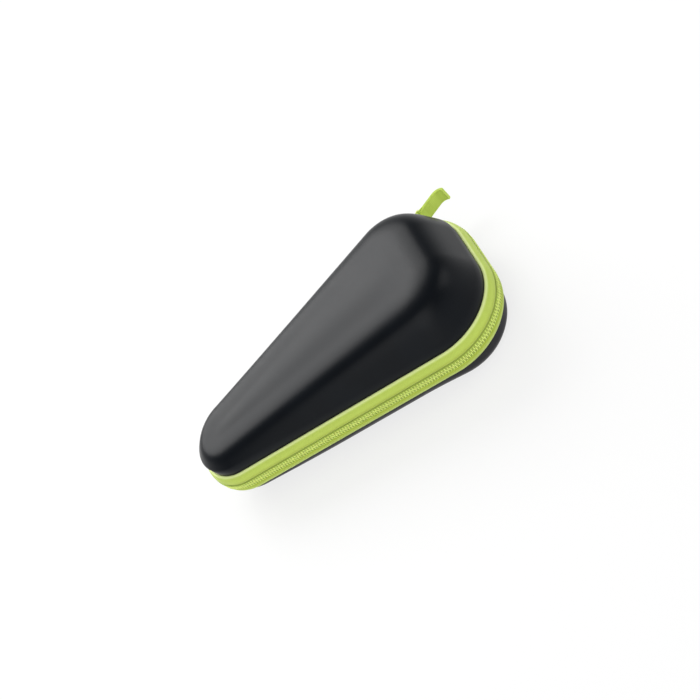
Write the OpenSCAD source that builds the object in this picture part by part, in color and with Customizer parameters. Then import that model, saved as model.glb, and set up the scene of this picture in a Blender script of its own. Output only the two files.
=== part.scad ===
// Hard zip case for an electric shaver: two moulded foam shells covered in smooth leathercloth,
// joined by a woven hinge along one long side and closed by a coil zip round the rest.
// The case stands on its flat sole. +X points to the wide end, -Y to the opening side.

/* [Case outline] */
// Length from the tip to the wide end
case_length = 190; // [180:1:200]
// Width at the wide end
case_width = 98; // [94:1:104]
// Radius of the narrow tip
tip_radius = 27.5; // [25:0.5:30]
// Radius of the two corners at the wide end
corner_radius = 36; // [34:0.5:38]

/* [Shells] */
// Height of the base shell, from the table to the zip band
base_height = 13; // [12:0.5:18]
// How far the sole lifts off the table at the tip
tip_lift = 7; // [2:0.5:7.5]
// Length over which the sole lifts
lift_length = 80; // [60:5:100]
// Width of the rounding between the base wall and the sole
base_round_in = 12; // [10:0.5:14]
// Height of that rounding
base_round_up = 7; // [6:0.5:8]
// Height of the lid's sloping top plane above the zip band, where it would meet the tip
lid_height_tip = 9; // [8:0.5:12]
// Height of the lid's top plane above the zip band, where it would meet the wide end
lid_height_end = 33; // [30:0.5:36]
// Height of the lid's upright wall at the tip
lid_wall_tip = 5; // [4.5:0.1:5.5]
// Height of the lid's upright wall at the wide end
lid_wall_end = 2; // [2:0.1:4]
// Width of the lid's shoulder rounding at the tip
shoulder_tip = 15; // [12:0.5:16]
// Width of the lid's shoulder rounding at the wide end
shoulder_end = 30; // [24:0.5:30]
// Thickness of the leathercloth skin
skin_wall = 0.8; // [0.6:0.1:1.2]
// Thickness of the moulded foam
foam_wall = 3.2; // [2.6:0.1:3.6]
// Thickness of the knitted lining
lining_wall = 0.6; // [0.4:0.1:0.8]
// Radius of the turned edge of the skin beside the zip band
skin_turn = 0.9; // [0.5:0.1:1.2]

/* [Zip] */
// Height of the whole zip band between the two shells
band_height = 16.5; // [16:0.5:18]
// How far the band bulges out beyond its sewn edges
band_bulge = 3; // [2.6:0.1:3.2]
// How far the shells sit in from the sewn edges of the band
shell_setback = 0.8; // [0.4:0.1:1.2]
// Thickness of the zip tape
tape_wall = 0.75; // [0.6:0.05:0.8]
// Height of the closed coil
coil_height = 4.8; // [4.4:0.1:5]
// Distance from one coil element to the next on the same tape
coil_pitch = 1.6; // [1.5:0.1:2]
// Thickness of the coil, through the band
coil_depth = 1.45; // [1.3:0.05:1.5]
// How far the tape lies in from the crest of the coil
tape_recess = 0.4; // [0.3:0.05:0.5]
// Direction of the parked slider round the far corner, in degrees
slider_park = 76; // [74:1:78]

/* [Slider and pull] */
// Length of the slider
slider_length = 12; // [11:0.5:13]
// Width of the slider at its nose
slider_width = 8.2; // [7.8:0.1:8.4]
// Thickness of each slider plate
plate_wall = 1.2; // [1:0.1:1.4]
// Diameter of the pull loop's wire
wire = 1.2; // [1:0.1:1.4]
// Length of the pull loop, from bar to bar
loop_length = 8.5; // [8:0.5:10]
// Width of the pull ribbon
ribbon_width = 9; // [8:0.5:9]
// Length of the straight part of the ribbon
ribbon_run = 15.5; // [12:0.5:20]
// Radius of the ribbon's curled end
curl_radius = 6; // [5:0.5:9]
// Angle of the ribbon's curled end
curl_angle = 58; // [30:1:75]
// Heading of the pull in plan, in degrees from the long axis
pull_heading = 21.5; // [15:0.5:25]

/* [Inside] */
// Width of the elastic strap along the case
strap_width = 25; // [20:1:30]
// Thickness of the elastic strap
strap_wall = 1.2; // [1:0.1:1.5]
// Rise of the strap's arch above its sewn ends
strap_rise = 9; // [7:0.5:10]
// Place of the strap's centre line along the case
strap_x = -20; // [-26:1:-16]
// Place of the net pocket's open edge along the case
pocket_edge = 8; // [0:1:12]
// Thickness of the net
net_wall = 0.6; // [0.5:0.1:0.8]
// Distance from one hole of the net to the next
net_pitch = 4.6; // [4.4:0.2:6]
// Width of one hole of the net
net_hole = 3.4; // [2.6:0.2:3.4]
// Width of the pocket's elastic hem
hem_width = 6; // [5:0.5:8]

/* [Hidden] */

leather = [0.17, 0.18, 0.19];
foam = [0.1, 0.1, 0.1];
knit = [0.3, 0.31, 0.32];
lime = [0.68, 0.8, 0.27];
pale_lime = [0.78, 0.87, 0.4];
elastic = [0.08, 0.08, 0.09];

// Steps of the shells' outline and rounding
CORNER_STEPS = 10;
SIDE_STEPS = 6;
TIP_STEPS = 14;
ROUND_STEPS = 7;
FINE = 128;

// Outline: centres of its arcs, and the direction in which the far side faces
half_length = case_length / 2;
tip_x = tip_radius - half_length;
corner_x = half_length - corner_radius;
corner_y = case_width / 2 - corner_radius;
arc_gap = norm([corner_x - tip_x, corner_y]);
side_turn = atan2(corner_y, corner_x - tip_x) + acos((tip_radius - corner_radius) / arc_gap);
side_length = sqrt(pow(arc_gap, 2) - pow(corner_radius - tip_radius, 2));

// Heights: the middle of the zip band, and its sewn edges above and below the middle
edge = band_height / 2;
zip_z = base_height + edge;

// The shells, from outside to inside
skin_at = band_bulge + shell_setback;
foam_at = skin_at + skin_wall;
lining_at = foam_at + foam_wall;
inside_at = lining_at + lining_wall;

// The tape: flat beside the coil, where the slider runs, then an arc to the sewn edge
coil_half = coil_height / 2;
flat_half = 3.2;
arc_rise = edge - flat_half;
arc_in = band_bulge - tape_recess;
tape_arc = (pow(arc_rise, 2) + pow(arc_in, 2)) / (2 * arc_in);
TAPE_STEPS = 6;
binding_wall = 0.9;
binding_gap = 0.03;
binding_low = 4.9;
notch_low = 4.7;
notch_strip = 4.4;
seat = 0.2;

// Places round the far corner, as directions from its centre
function corner_turn(run) = run / corner_radius * 180 / PI;
coil_end_turn = slider_park + corner_turn(1);
notch_turn = slider_park - corner_turn(slider_length / 2 + 1.2);
hinge_turn = slider_park + corner_turn(slider_length / 2 + 1.2);

// Places round the tip, as directions from its centre
function tip_turn(run) = run / tip_radius * 180 / PI;
hinge_tip_turn = side_turn + tip_turn(4.8);
stop_tip_turn = hinge_tip_turn + tip_turn(3);
tape_tip_turn = hinge_tip_turn + tip_turn(seat);

// The outline as points that each carry their outward direction
function arc_points(x, y, r, from, to, n) =
  [for (i = [0:n - 1]) let (a = from + (to - from) * i / n) [x + r * cos(a), y + r * sin(a), a]];
function line_points(p, q, a, n) =
  [for (i = [0:n - 1]) let (t = i / n) [p.x + (q.x - p.x) * t, p.y + (q.y - p.y) * t, a]];
function off_arc(x, y, r, a) = [x + r * cos(a), y + r * sin(a)];
far_corner_end = off_arc(corner_x, corner_y, corner_radius, side_turn);
far_tip_end = off_arc(tip_x, 0, tip_radius, side_turn);
near_corner_end = [far_corner_end.x, -far_corner_end.y];
near_tip_end = [far_tip_end.x, -far_tip_end.y];
OUTLINE = concat(
  arc_points(corner_x, corner_y, corner_radius, 0, side_turn, CORNER_STEPS),
  line_points(far_corner_end, far_tip_end, side_turn, SIDE_STEPS),
  arc_points(tip_x, 0, tip_radius, side_turn, 360 - side_turn, TIP_STEPS),
  line_points(near_tip_end, near_corner_end, 360 - side_turn, SIDE_STEPS),
  arc_points(corner_x, -corner_y, corner_radius, 360 - side_turn, 360, CORNER_STEPS),
  [[half_length, -corner_y, 0]]
);
COUNT = len(OUTLINE);
function inset(p, by) = [p.x - by * cos(p[2]), p.y - by * sin(p[2])];
function inner_ring(by) = [for (p = OUTLINE) inset(p, by)];

// Lid and base profiles: how far in and how high the wall is, at an outline point
function along(p) = (p.x + half_length) / case_length;
function blend(p, at_tip, at_end) = at_tip + (at_end - at_tip) * along(p);
function lid_top(x) =
  lid_height_tip + (lid_height_end - lid_height_tip) * (x + half_length) / case_length;
function lid_point(p, at, a) =
  let (
    deep = at - skin_at,
    in = blend(p, shoulder_tip, shoulder_end),
    wall = blend(p, lid_wall_tip, lid_wall_end),
    up = lid_top(inset(p, skin_at + in).x) - wall,
    plan = inset(p, at + (in - deep) * (1 - cos(a)))
  )
  [plan.x, plan.y, zip_z + edge + wall + (up - deep) * sin(a)];
function sole_lift(p) = tip_lift * pow(max(0, lift_length - p.x - half_length) / lift_length, 2);
function base_point(p, at, a) =
  let (
    deep = at - skin_at,
    plan = inset(p, at + (base_round_in - deep) * (1 - cos(a))),
    up = min(base_round_up, base_height - sole_lift(p) - 0.6)
  )
  [plan.x, plan.y, sole_lift(p) + up - (up - deep) * sin(a)];
function rim_point(p, at, z) = let (plan = inset(p, at)) [plan.x, plan.y, z];
function round_angles() = [for (i = [0:ROUND_STEPS - 1]) 90 * i / (ROUND_STEPS - 1)];

// One wall surface as rings of points, from the rim to the crown
function lid_rings(at) = concat(
  [[for (p = OUTLINE) rim_point(p, at, zip_z + edge)]],
  [for (a = round_angles()) [for (p = OUTLINE) lid_point(p, at, a)]]
);
function base_rings(at) = concat(
  [[for (p = OUTLINE) rim_point(p, at, zip_z - edge)]],
  [for (a = round_angles()) [for (p = OUTLINE) base_point(p, at, a)]]
);
// The skin's outer surface also has the turned edge beside the band
function turned(rings, up) = concat(
  [[for (q = [0:COUNT - 1]) rim_point(OUTLINE[q], skin_at + skin_turn * 0.6, rings[0][q].z)]],
  [[for (q = [0:COUNT - 1]) rim_point(OUTLINE[q], skin_at, rings[0][q].z + up * skin_turn)]],
  [for (i = [1:len(rings) - 1]) rings[i]]
);

// Triangles of a closed bowl between an outer and an inner set of rings
function wall_faces(first, rings) = [
  for (r = [0:rings - 2], j = [0:COUNT - 1])
    let (k = (j + 1) % COUNT, a = first + r * COUNT)
      for (f = [[a + j, a + COUNT + k, a + k], [a + j, a + COUNT + j, a + COUNT + k]]) f
];
function cap_faces(first) = [
  for (j = [0:(COUNT - 3) / 2])
    let (a = first + j, b = a + 1, d = first + COUNT - 1 - j, c = d - 1)
      for (f = b == c ? [[a, d, b]] : [[a, c, b], [a, d, c]]) f
];
function rim_faces(outer, inner) = [
  for (j = [0:COUNT - 1])
    let (k = (j + 1) % COUNT)
      for (f = [[outer + j, inner + k, inner + j], [outer + j, outer + k, inner + k]]) f
];
function flip(faces) = [for (f = faces) [f[0], f[2], f[1]]];
module bowl(outer, inner, upward) {
  points = [for (ring = concat(outer, inner), p = ring) p];
  inner_first = len(outer) * COUNT;
  faces = concat(
    wall_faces(0, len(outer)),
    cap_faces(inner_first - COUNT),
    flip(wall_faces(inner_first, len(inner))),
    flip(cap_faces(len(points) - COUNT)),
    rim_faces(0, inner_first)
  );
  polyhedron(points, upward ? faces : flip(faces));
}

// Sweeps of a band section, drawn as [out from the outline, up from the band's middle].
// A straight side laps the arcs at its ends, whose section is a hair thinner, so that
// they fuse into one piece.
SIDE_LAP = 0.05;
HAIR = 0.02;
module arc_sweep(x, y, r, from, to) {
  $thin = HAIR;
  translate([x, y, zip_z])
    rotate([0, 0, from])
      rotate_extrude(angle = to - from, $fn = FINE)
        translate([r, 0])
          children();
}
module far_corner_sweep(from, to) {
  arc_sweep(corner_x, corner_y, corner_radius, from, to) children();
}
module side_sweep(start, turn) {
  $thin = 0;
  translate([start.x - SIDE_LAP * sin(turn), start.y + SIDE_LAP * cos(turn), zip_z])
    rotate([90, 0, turn])
      linear_extrude(side_length + 2 * SIDE_LAP)
        children();
}
module end_sweep() {
  $thin = 0;
  translate([half_length, corner_y + SIDE_LAP, zip_z])
    rotate([90, 0, 0])
      linear_extrude(2 * (corner_y + SIDE_LAP))
        children();
}
module near_corner_sweep() {
  mirror([0, 1, 0])
    far_corner_sweep(0, side_turn)
      children();
}
module near_side_sweep() {
  mirror([0, 1, 0])
    side_sweep(far_tip_end, side_turn)
      children();
}
// From the wide end round the front to a place on the tip
module front_sweep(tip_from) {
  end_sweep() children();
  near_corner_sweep() children();
  near_side_sweep() children();
  arc_sweep(tip_x, 0, tip_radius, tip_from, 360 - side_turn) children();
}
module hinge_sweep() {
  far_corner_sweep(hinge_turn, side_turn) children();
  side_sweep(far_tip_end, side_turn) children();
  arc_sweep(tip_x, 0, tip_radius, side_turn, hinge_tip_turn) children();
}

// Sections of the band's upper half
function tape_arc_point(deep, a) =
  [(tape_arc - deep) * cos(a) - tape_arc - tape_recess, flat_half + (tape_arc - deep) * sin(a)];
function tape_angle(deep, z) = asin((z - flat_half) / (tape_arc - deep));
function tape_curve(deep, low, high) = [
  for (i = [0:TAPE_STEPS])
    let (from = tape_angle(deep, low), to = tape_angle(deep, high))
      tape_arc_point(deep, from + (to - from) * i / TAPE_STEPS)
];
function reversed(list) = [for (i = [len(list) - 1:-1:0]) list[i]];
function curve_band(outer, inner, low, high) = concat(
  tape_curve(outer + $thin, low, high - $thin),
  reversed(tape_curve(inner - $thin, low, high - $thin))
);
module tape_section() {
  low = coil_half + $thin;
  out = -tape_recess - $thin;
  in = $thin - tape_recess - tape_wall;
  polygon(concat([[out, low]], curve_band(0, tape_wall, flat_half, edge), [[in, low]]));
}
module tape_outer_section() {
  polygon(curve_band(0, tape_wall, notch_low, edge));
}
module tape_strip_section() {
  translate([-tape_recess - tape_wall, coil_half - 0.2])
    square([tape_wall - 0.1, notch_strip - coil_half + 0.2]);
}
module leaf_section() {
  low = seat / 2 + $thin;
  polygon(concat([[-$thin, low]], curve_band(0, tape_wall, flat_half, edge), [[$thin - tape_wall, low]]));
}
module binding_section() {
  top = edge - $thin;
  bottom = edge - binding_wall + $thin;
  in = $thin - inside_at;
  polygon(concat(
    tape_curve(tape_wall + binding_gap + $thin, binding_low + $thin, top),
    [[in, top], [in, bottom]],
    reversed(tape_curve(tape_wall + binding_wall - $thin, binding_low + $thin, bottom))
  ));
}
module cord_section() {
  translate([-coil_depth + 0.1 + $thin, coil_half - 0.75 + $thin])
    square([coil_depth - 0.3 - 2 * $thin, 0.75 - 2 * $thin]);
}

// Stations along the zip, by the run from the parked end of the coil round to the tip
corner_run = coil_end_turn * corner_radius * PI / 180;
full_corner_run = side_turn * corner_radius * PI / 180;
tip_run = (360 - side_turn - stop_tip_turn) * tip_radius * PI / 180;
RUNS = [corner_run, 2 * corner_y, full_corner_run, side_length, tip_run];
function run_to(i) = i == 0 ? 0 : run_to(i - 1) + RUNS[i - 1];
zip_run = run_to(len(RUNS));
function arc_station(x, y, r, from, run) =
  let (a = from - run / r * 180 / PI) [x + r * cos(a), y + r * sin(a), a];
function station(run) =
  run < run_to(1) ? arc_station(corner_x, corner_y, corner_radius, coil_end_turn, run) :
  run < run_to(2) ? [half_length, corner_y - run + run_to(1), 0] :
  run < run_to(3) ? arc_station(corner_x, -corner_y, corner_radius, 360, run - run_to(2)) :
  run < run_to(4) ? let (t = (run - run_to(3)) / side_length)
    [near_corner_end.x + (near_tip_end.x - near_corner_end.x) * t,
     near_corner_end.y + (near_tip_end.y - near_corner_end.y) * t, 360 - side_turn] :
  arc_station(tip_x, 0, tip_radius, 360 - side_turn, run - run_to(4));

// Small blocks at the stations, drawn in plan as [out from the outline, across]
function block(s, from, to, wide) = [
  for (q = [[from, -wide / 2], [to, -wide / 2], [to, wide / 2], [from, wide / 2]])
    [s.x + q.x * cos(s[2]) - q.y * sin(s[2]), s.y + q.x * sin(s[2]) + q.y * cos(s[2])]
];
module blocks(stations, from, to, wide) {
  points = [for (s = stations, p = block(s, from, to, wide)) p];
  paths = [for (i = [0:len(stations) - 1]) [4 * i, 4 * i + 1, 4 * i + 2, 4 * i + 3]];
  polygon(points, paths);
}
head_wide = 0.7;
stem_wide = 0.5;
head_gap = 0.05;
head_tall = 0.8;
function element_stations(from_run, to_run, phase) = [
  for (i = [ceil((from_run + head_wide / 2) / coil_pitch - phase)
    :floor((to_run - head_wide / 2) / coil_pitch - phase)])
      station((i + phase) * coil_pitch)
];
module upper_elements(from_run, to_run) {
  stations = element_stations(from_run, to_run, 0.75);
  translate([0, 0, zip_z - head_gap - head_tall])
    linear_extrude(head_tall)
      blocks(stations, -coil_depth, 0, head_wide);
  translate([0, 0, zip_z - head_gap - 0.1])
    linear_extrude(coil_half - 0.5)
      blocks(stations, -coil_depth + 0.3, -0.35, stem_wide);
}
module lower_elements() {
  stations = element_stations(0, zip_run, 0.25);
  translate([0, 0, zip_z + head_gap])
    linear_extrude(head_tall)
      blocks(stations, -coil_depth, 0, head_wide);
  translate([0, 0, zip_z - coil_half + 0.6 + head_gap])
    linear_extrude(coil_half - 0.5)
      blocks(stations, -coil_depth + 0.3, -0.35, stem_wide);
}

module base_skin() {
  color(leather)
    bowl(turned(base_rings(skin_at), -1), base_rings(foam_at), false);
}
module base_foam() {
  color(foam)
    bowl(base_rings(foam_at), base_rings(lining_at), false);
}
module base_lining() {
  color(knit)
    bowl(base_rings(lining_at), base_rings(inside_at), false);
}
module lid_skin() {
  color(leather)
    bowl(turned(lid_rings(skin_at), 1), lid_rings(foam_at), true);
}
module lid_foam() {
  color(foam)
    bowl(lid_rings(foam_at), lid_rings(lining_at), true);
}
module lid_lining() {
  color(knit)
    bowl(lid_rings(lining_at), lid_rings(inside_at), true);
}

module whole_ring() {
  far_corner_sweep(0, side_turn) children();
  side_sweep(far_tip_end, side_turn) children();
  front_sweep(side_turn) children();
}
module lower_half() {
  translate([0, 0, 2 * zip_z])
    mirror([0, 0, 1])
      children();
}
module base_edge_binding() {
  color(elastic)
    lower_half()
      whole_ring()
        binding_section();
}
module lid_edge_binding() {
  color(elastic)
    whole_ring()
      binding_section();
}
module base_zip_tape() {
  color(lime)
    lower_half() {
      far_corner_sweep(0, hinge_turn - corner_turn(seat)) tape_section();
      front_sweep(tape_tip_turn) tape_section();
    }
}
module lid_zip_tape() {
  color(lime) {
    far_corner_sweep(notch_turn - SIDE_LAP, hinge_turn - corner_turn(seat)) tape_outer_section();
    far_corner_sweep(0, notch_turn) tape_section();
    front_sweep(tape_tip_turn) tape_section();
  }
}
module base_zip_coil() {
  color(pale_lime) {
    lower_half() {
      far_corner_sweep(0, coil_end_turn) cord_section();
      front_sweep(stop_tip_turn) cord_section();
    }
    lower_elements();
  }
}
notch_run = (coil_end_turn - notch_turn) * corner_radius * PI / 180;
module lid_zip_coil() {
  color(pale_lime) {
    far_corner_sweep(0, notch_turn - corner_turn(seat)) cord_section();
    front_sweep(stop_tip_turn) cord_section();
    upper_elements(notch_run + seat, zip_run);
  }
}
module upper_coil_end() {
  color(pale_lime) {
    far_corner_sweep(notch_turn + corner_turn(seat), coil_end_turn) cord_section();
    upper_elements(0, notch_run - seat);
    far_corner_sweep(notch_turn + corner_turn(seat), hinge_turn - corner_turn(seat))
      tape_strip_section();
  }
}
module hinge_tape_lower() {
  color(lime)
    lower_half()
      hinge_sweep()
        leaf_section();
}
module hinge_tape_upper() {
  color(lime)
    hinge_sweep()
      leaf_section();
}
module zip_bottom_stop() {
  color(pale_lime)
    arc_sweep(tip_x, 0, tip_radius, hinge_tip_turn + tip_turn(seat), stop_tip_turn - tip_turn(seat))
      translate([-coil_depth - 0.2, -coil_half + seat])
        square([coil_depth + 0.5, coil_height - 2 * seat]);
}
// Each top stop is crimped on the end of its own coil, clear of the slider's wedge
stop_length = 1.2;
stop_low = 1.25;
stop_high = coil_half - 0.25;
module top_stop() {
  from = coil_end_turn + corner_turn(0.1);
  far_corner_sweep(from, from + corner_turn(stop_length))
    translate([-coil_depth, stop_low])
      square([coil_depth, stop_high - stop_low]);
}
module zip_top_stop_upper() {
  color(pale_lime)
    top_stop();
}
module zip_top_stop_lower() {
  color(pale_lime)
    lower_half()
      top_stop();
}

// The strap spans the base between its sewn ends, which lie flat against the lining
side_slope = side_turn - 90;
function side_y(x) = far_corner_end.y + (x - far_corner_end.x) * tan(side_slope);
anchor_wall = 1;
anchor_low = base_round_up + 1;
anchor_margin = 1.5;
lining_gap = 0.05;
strap_z = (anchor_low + base_height - strap_wall) / 2;
function lining_y(x) = side_y(x) - (inside_at + lining_gap) / cos(side_slope);
function strap_span(x) = lining_y(x) - (anchor_wall + lining_gap) / cos(side_slope);
module strap_anchor(side) {
  a = strap_x - strap_width / 2 - anchor_margin;
  b = strap_x + strap_width / 2 + anchor_margin;
  deep = anchor_wall / cos(side_slope);
  color(elastic)
    translate([0, 0, anchor_low])
      linear_extrude(base_height - anchor_low)
        polygon([
          [a, side * lining_y(a)],
          [b, side * lining_y(b)],
          [b, side * (lining_y(b) - deep)],
          [a, side * (lining_y(a) - deep)]
        ]);
}
module strap_anchor_near() {
  strap_anchor(-1);
}
module strap_anchor_far() {
  strap_anchor(1);
}
module strap() {
  half = strap_span(strap_x);
  a = strap_x - strap_width / 2;
  b = strap_x + strap_width / 2;
  radius = (pow(half, 2) + pow(strap_rise, 2)) / (2 * strap_rise);
  color(elastic)
    intersection() {
      translate([a, 0, strap_z + strap_rise - radius])
        rotate([90, 0, 90])
          linear_extrude(strap_width)
            difference() {
              circle(radius, $fn = FINE);
              circle(radius - strap_wall, $fn = FINE);
            }
      linear_extrude(zip_z)
        polygon([
          [a, strap_span(a)],
          [b, strap_span(b)],
          [b, -strap_span(b)],
          [a, -strap_span(a)]
        ]);
    }
}

// The net pocket hangs just inside the lid's rim and closes off its narrow half
net_z = zip_z + edge + 1.6;
net_border = 3;
function net_holes() = [
  for (i = [0:floor(case_length / net_pitch)], j = [-10:10])
    let (
      x = pocket_edge - net_border - net_hole / 2 - i * net_pitch,
      y = (j + (i % 2) * 0.5) * net_pitch,
      reach = inside_at + net_border + net_hole / 2,
      tip = tip_radius - reach,
      room = x > tip_x ? side_y(x) - reach / cos(side_slope)
        : x > tip_x - tip ? sqrt(pow(tip, 2) - pow(x - tip_x, 2)) : -1
    )
      if (abs(y) < room) [x, y]
];
module net_outline() {
  polygon(inner_ring(inside_at + lining_gap));
}
module pocket_net() {
  holes = net_holes();
  h = net_hole / 2;
  points = [for (c = holes, q = [[-h, 0], [0, -h], [h, 0], [0, h]]) [c.x + q.x, c.y + q.y]];
  paths = [for (i = [0:len(holes) - 1]) [4 * i, 4 * i + 1, 4 * i + 2, 4 * i + 3]];
  color(elastic)
    translate([0, 0, net_z])
      linear_extrude(net_wall)
        difference() {
          intersection() {
            net_outline();
            translate([-case_length, -case_width])
              square([case_length + pocket_edge, 2 * case_width]);
          }
          polygon(points, paths);
        }
}
module pocket_hem() {
  hem_tall = net_wall + 1;
  color(elastic)
    intersection() {
      translate([0, 0, net_z - 0.5])
        linear_extrude(hem_tall)
          net_outline();
      translate([pocket_edge, -case_width / 2, net_z - 0.5])
        cube([hem_width, case_width, hem_tall]);
    }
}

// The slider: two plates with turned-in lips, joined by a wedge at the nose
channel = 0.1;
plate_out = channel + plate_wall;
back_in = coil_depth + channel;
nose_wedge = 1.1;
half_turn = corner_turn(slider_length / 2);
module slider_section(from, to, half) {
  translate([from, -half])
    square([to - from, 2 * half]);
}
module slider_slice(from, to, half) {
  far_corner_sweep(slider_park - half_turn, slider_park + half_turn)
    slider_section(from, to, half);
}
// A flat shape drawn as [along the path towards the nose, up], pushed through the band
module through_band(from, to) {
  translate([corner_x, corner_y, zip_z])
    rotate([0, 0, slider_park])
      translate([corner_radius + from, 0, 0])
        rotate([90, 0, 90])
          linear_extrude(to - from)
            children();
}
module slider_outline() {
  n = slider_width / 2;
  t = n - 0.7;
  l = slider_length / 2;
  polygon([
    [-l, t - 0.8], [-l + 0.8, t], [-1, t], [2, n], [l - 1.2, n], [l, n - 1.4],
    [l, 1.4 - n], [l - 1.2, -n], [2, -n], [-1, -t], [-l + 0.8, -t], [-l, 0.8 - t]
  ]);
}
module slider_body() {
  lip_half = coil_half + channel;
  color(lime)
    union() {
      intersection() {
        difference() {
          slider_slice(-back_in - plate_wall, plate_out, slider_width / 2 + 1);
          slider_slice(-back_in, channel, lip_half);
          slider_slice(-tape_recess - tape_wall - 0.2, -tape_recess + 0.1, slider_width);
        }
        through_band(-back_in - plate_wall - 1, plate_out + 1)
          slider_outline();
      }
      through_band(-back_in - 0.3, channel + 0.3)
        polygon([
          [2.4, 0], [3.8, nose_wedge - 0.2], [5.4, nose_wedge],
          [5.4, -nose_wedge], [3.8, 0.2 - nose_wedge]
        ]);
    }
}

// The bridge stands on the front plate, and the pull's bar lies under its tail end
bar_run = -3.3;
bar_out = plate_out + wire / 2 + 0.1;
bridge_half = 1.2;
bridge_wall = 1;
eye_out = bar_out + wire / 2 + 0.25;
module slider_bridge() {
  foot = plate_out - 0.6;
  tail = bar_run - wire / 2 - 0.25;
  color(lime)
    difference() {
      translate([corner_x, corner_y, zip_z])
        rotate([0, 0, slider_park])
          translate([corner_radius, 0, -bridge_half])
            linear_extrude(2 * bridge_half)
              polygon([
                [foot, tail - 1.2], [eye_out - 0.2, tail - 1.2], [eye_out + bridge_wall, tail],
                [eye_out + bridge_wall, 1.6], [eye_out - 0.6, 3], [foot, 3],
                [foot, 1.8], [eye_out - 0.5, 1.6], [eye_out, 1.2], [eye_out, tail], [foot, tail]
              ]);
      translate([corner_x, corner_y, zip_z - slider_width])
        cylinder(h = 2 * slider_width, r = corner_radius + plate_out, $fn = FINE);
    }
}

// The pull swings on its bar, and the ribbon on the loop's outer bar
bar_turn = slider_park + atan2(bar_run, corner_radius + bar_out);
bar_radius = norm([corner_radius + bar_out, bar_run]);
bar_at = [corner_x + bar_radius * cos(bar_turn), corner_y + bar_radius * sin(bar_turn)];
loop_neck = 3.4;
loop_mouth = ribbon_width / 2 + 0.8;
module pull_frame(run) {
  translate([bar_at.x, bar_at.y, zip_z])
    rotate([0, 0, pull_heading])
      translate([run, 0, 0])
        children();
}
module pull_loop() {
  r = wire / 2;
  color(pale_lime)
    union() {
      pull_frame(0)
        translate([0, 0, -loop_neck])
          cylinder(h = 2 * loop_neck, r = r, $fn = FINE);
      pull_frame(loop_length)
        translate([0, 0, -loop_mouth - wire])
          cylinder(h = 2 * (loop_mouth + wire), r = r, $fn = FINE);
      for (side = [1, -1])
        pull_frame(0)
          rotate([90, 0, 0])
            translate([0, 0, -r + 0.02])
              linear_extrude(wire - 0.04)
                polygon([
                  [-0.1, side * (loop_neck - wire)], [-0.1, side * loop_neck],
                  [loop_length, side * (loop_mouth + wire)], [loop_length, side * loop_mouth]
                ]);
    }
}
ribbon_wall = 1.6;
ribbon_bore = wire / 2 + 0.1;
module pull_ribbon() {
  half = ribbon_width / 2;
  color(lime)
    pull_frame(loop_length)
      difference() {
        union() {
          translate([0, 0, -half])
            cylinder(h = ribbon_width, r = ribbon_bore + ribbon_wall / 2, $fn = FINE);
          translate([0, -ribbon_wall / 2, -half])
            cube([ribbon_run, ribbon_wall, ribbon_width]);
          translate([ribbon_run, -curl_radius, 0])
            rotate([0, 0, 90])
              mirror([0, 1, 0])
                rotate_extrude(angle = curl_angle, $fn = FINE)
                  translate([curl_radius - ribbon_wall / 2, -half])
                    square([ribbon_wall, ribbon_width]);
        }
        translate([0, 0, -half - 1])
          cylinder(h = ribbon_width + 2, r = ribbon_bore, $fn = FINE);
      }
}

base_skin();
base_foam();
base_lining();
base_edge_binding();
base_zip_tape();
base_zip_coil();
hinge_tape_lower();
zip_bottom_stop();
zip_top_stop_lower();
zip_top_stop_upper();
upper_coil_end();
strap();
strap_anchor_near();
strap_anchor_far();
lid_skin();
lid_foam();
lid_lining();
lid_edge_binding();
lid_zip_tape();
lid_zip_coil();
hinge_tape_upper();
pocket_net();
pocket_hem();
slider_body();
slider_bridge();
pull_loop();
pull_ribbon();
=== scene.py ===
"""Dressed pieces of a hard zip case for an electric shaver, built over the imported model, with a
plain studio stage. It is laid out as an add-on and run as a script."""

import math

import bmesh
import bpy
import numpy as np
from bpy.props import FloatProperty, FloatVectorProperty, PointerProperty
from mathutils import Matrix, Vector


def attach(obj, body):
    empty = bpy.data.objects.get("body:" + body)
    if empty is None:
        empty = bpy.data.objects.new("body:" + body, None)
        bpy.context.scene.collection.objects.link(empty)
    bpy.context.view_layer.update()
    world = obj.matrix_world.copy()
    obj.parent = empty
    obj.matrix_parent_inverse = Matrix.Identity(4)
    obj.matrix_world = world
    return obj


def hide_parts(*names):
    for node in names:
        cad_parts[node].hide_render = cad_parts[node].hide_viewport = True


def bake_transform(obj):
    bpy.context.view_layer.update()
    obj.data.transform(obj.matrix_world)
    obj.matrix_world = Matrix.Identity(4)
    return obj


bl_info = {
    "name": "Zip Case for a Shaver",
    "version": (1, 0, 0),
    "blender": (4, 5, 0),
    "location": "3D View > Sidebar > Zip Case",
    "description": "Covers, linings, zip, hinge, strap and net of a hard zip case",
    "category": "Mesh",
}

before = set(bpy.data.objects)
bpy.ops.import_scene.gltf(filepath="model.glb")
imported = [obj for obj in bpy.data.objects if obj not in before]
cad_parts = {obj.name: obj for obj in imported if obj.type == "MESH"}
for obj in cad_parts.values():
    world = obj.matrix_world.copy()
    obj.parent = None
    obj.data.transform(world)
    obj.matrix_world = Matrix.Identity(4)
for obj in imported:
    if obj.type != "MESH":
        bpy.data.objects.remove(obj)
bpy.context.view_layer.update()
MM = 0.001

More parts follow.
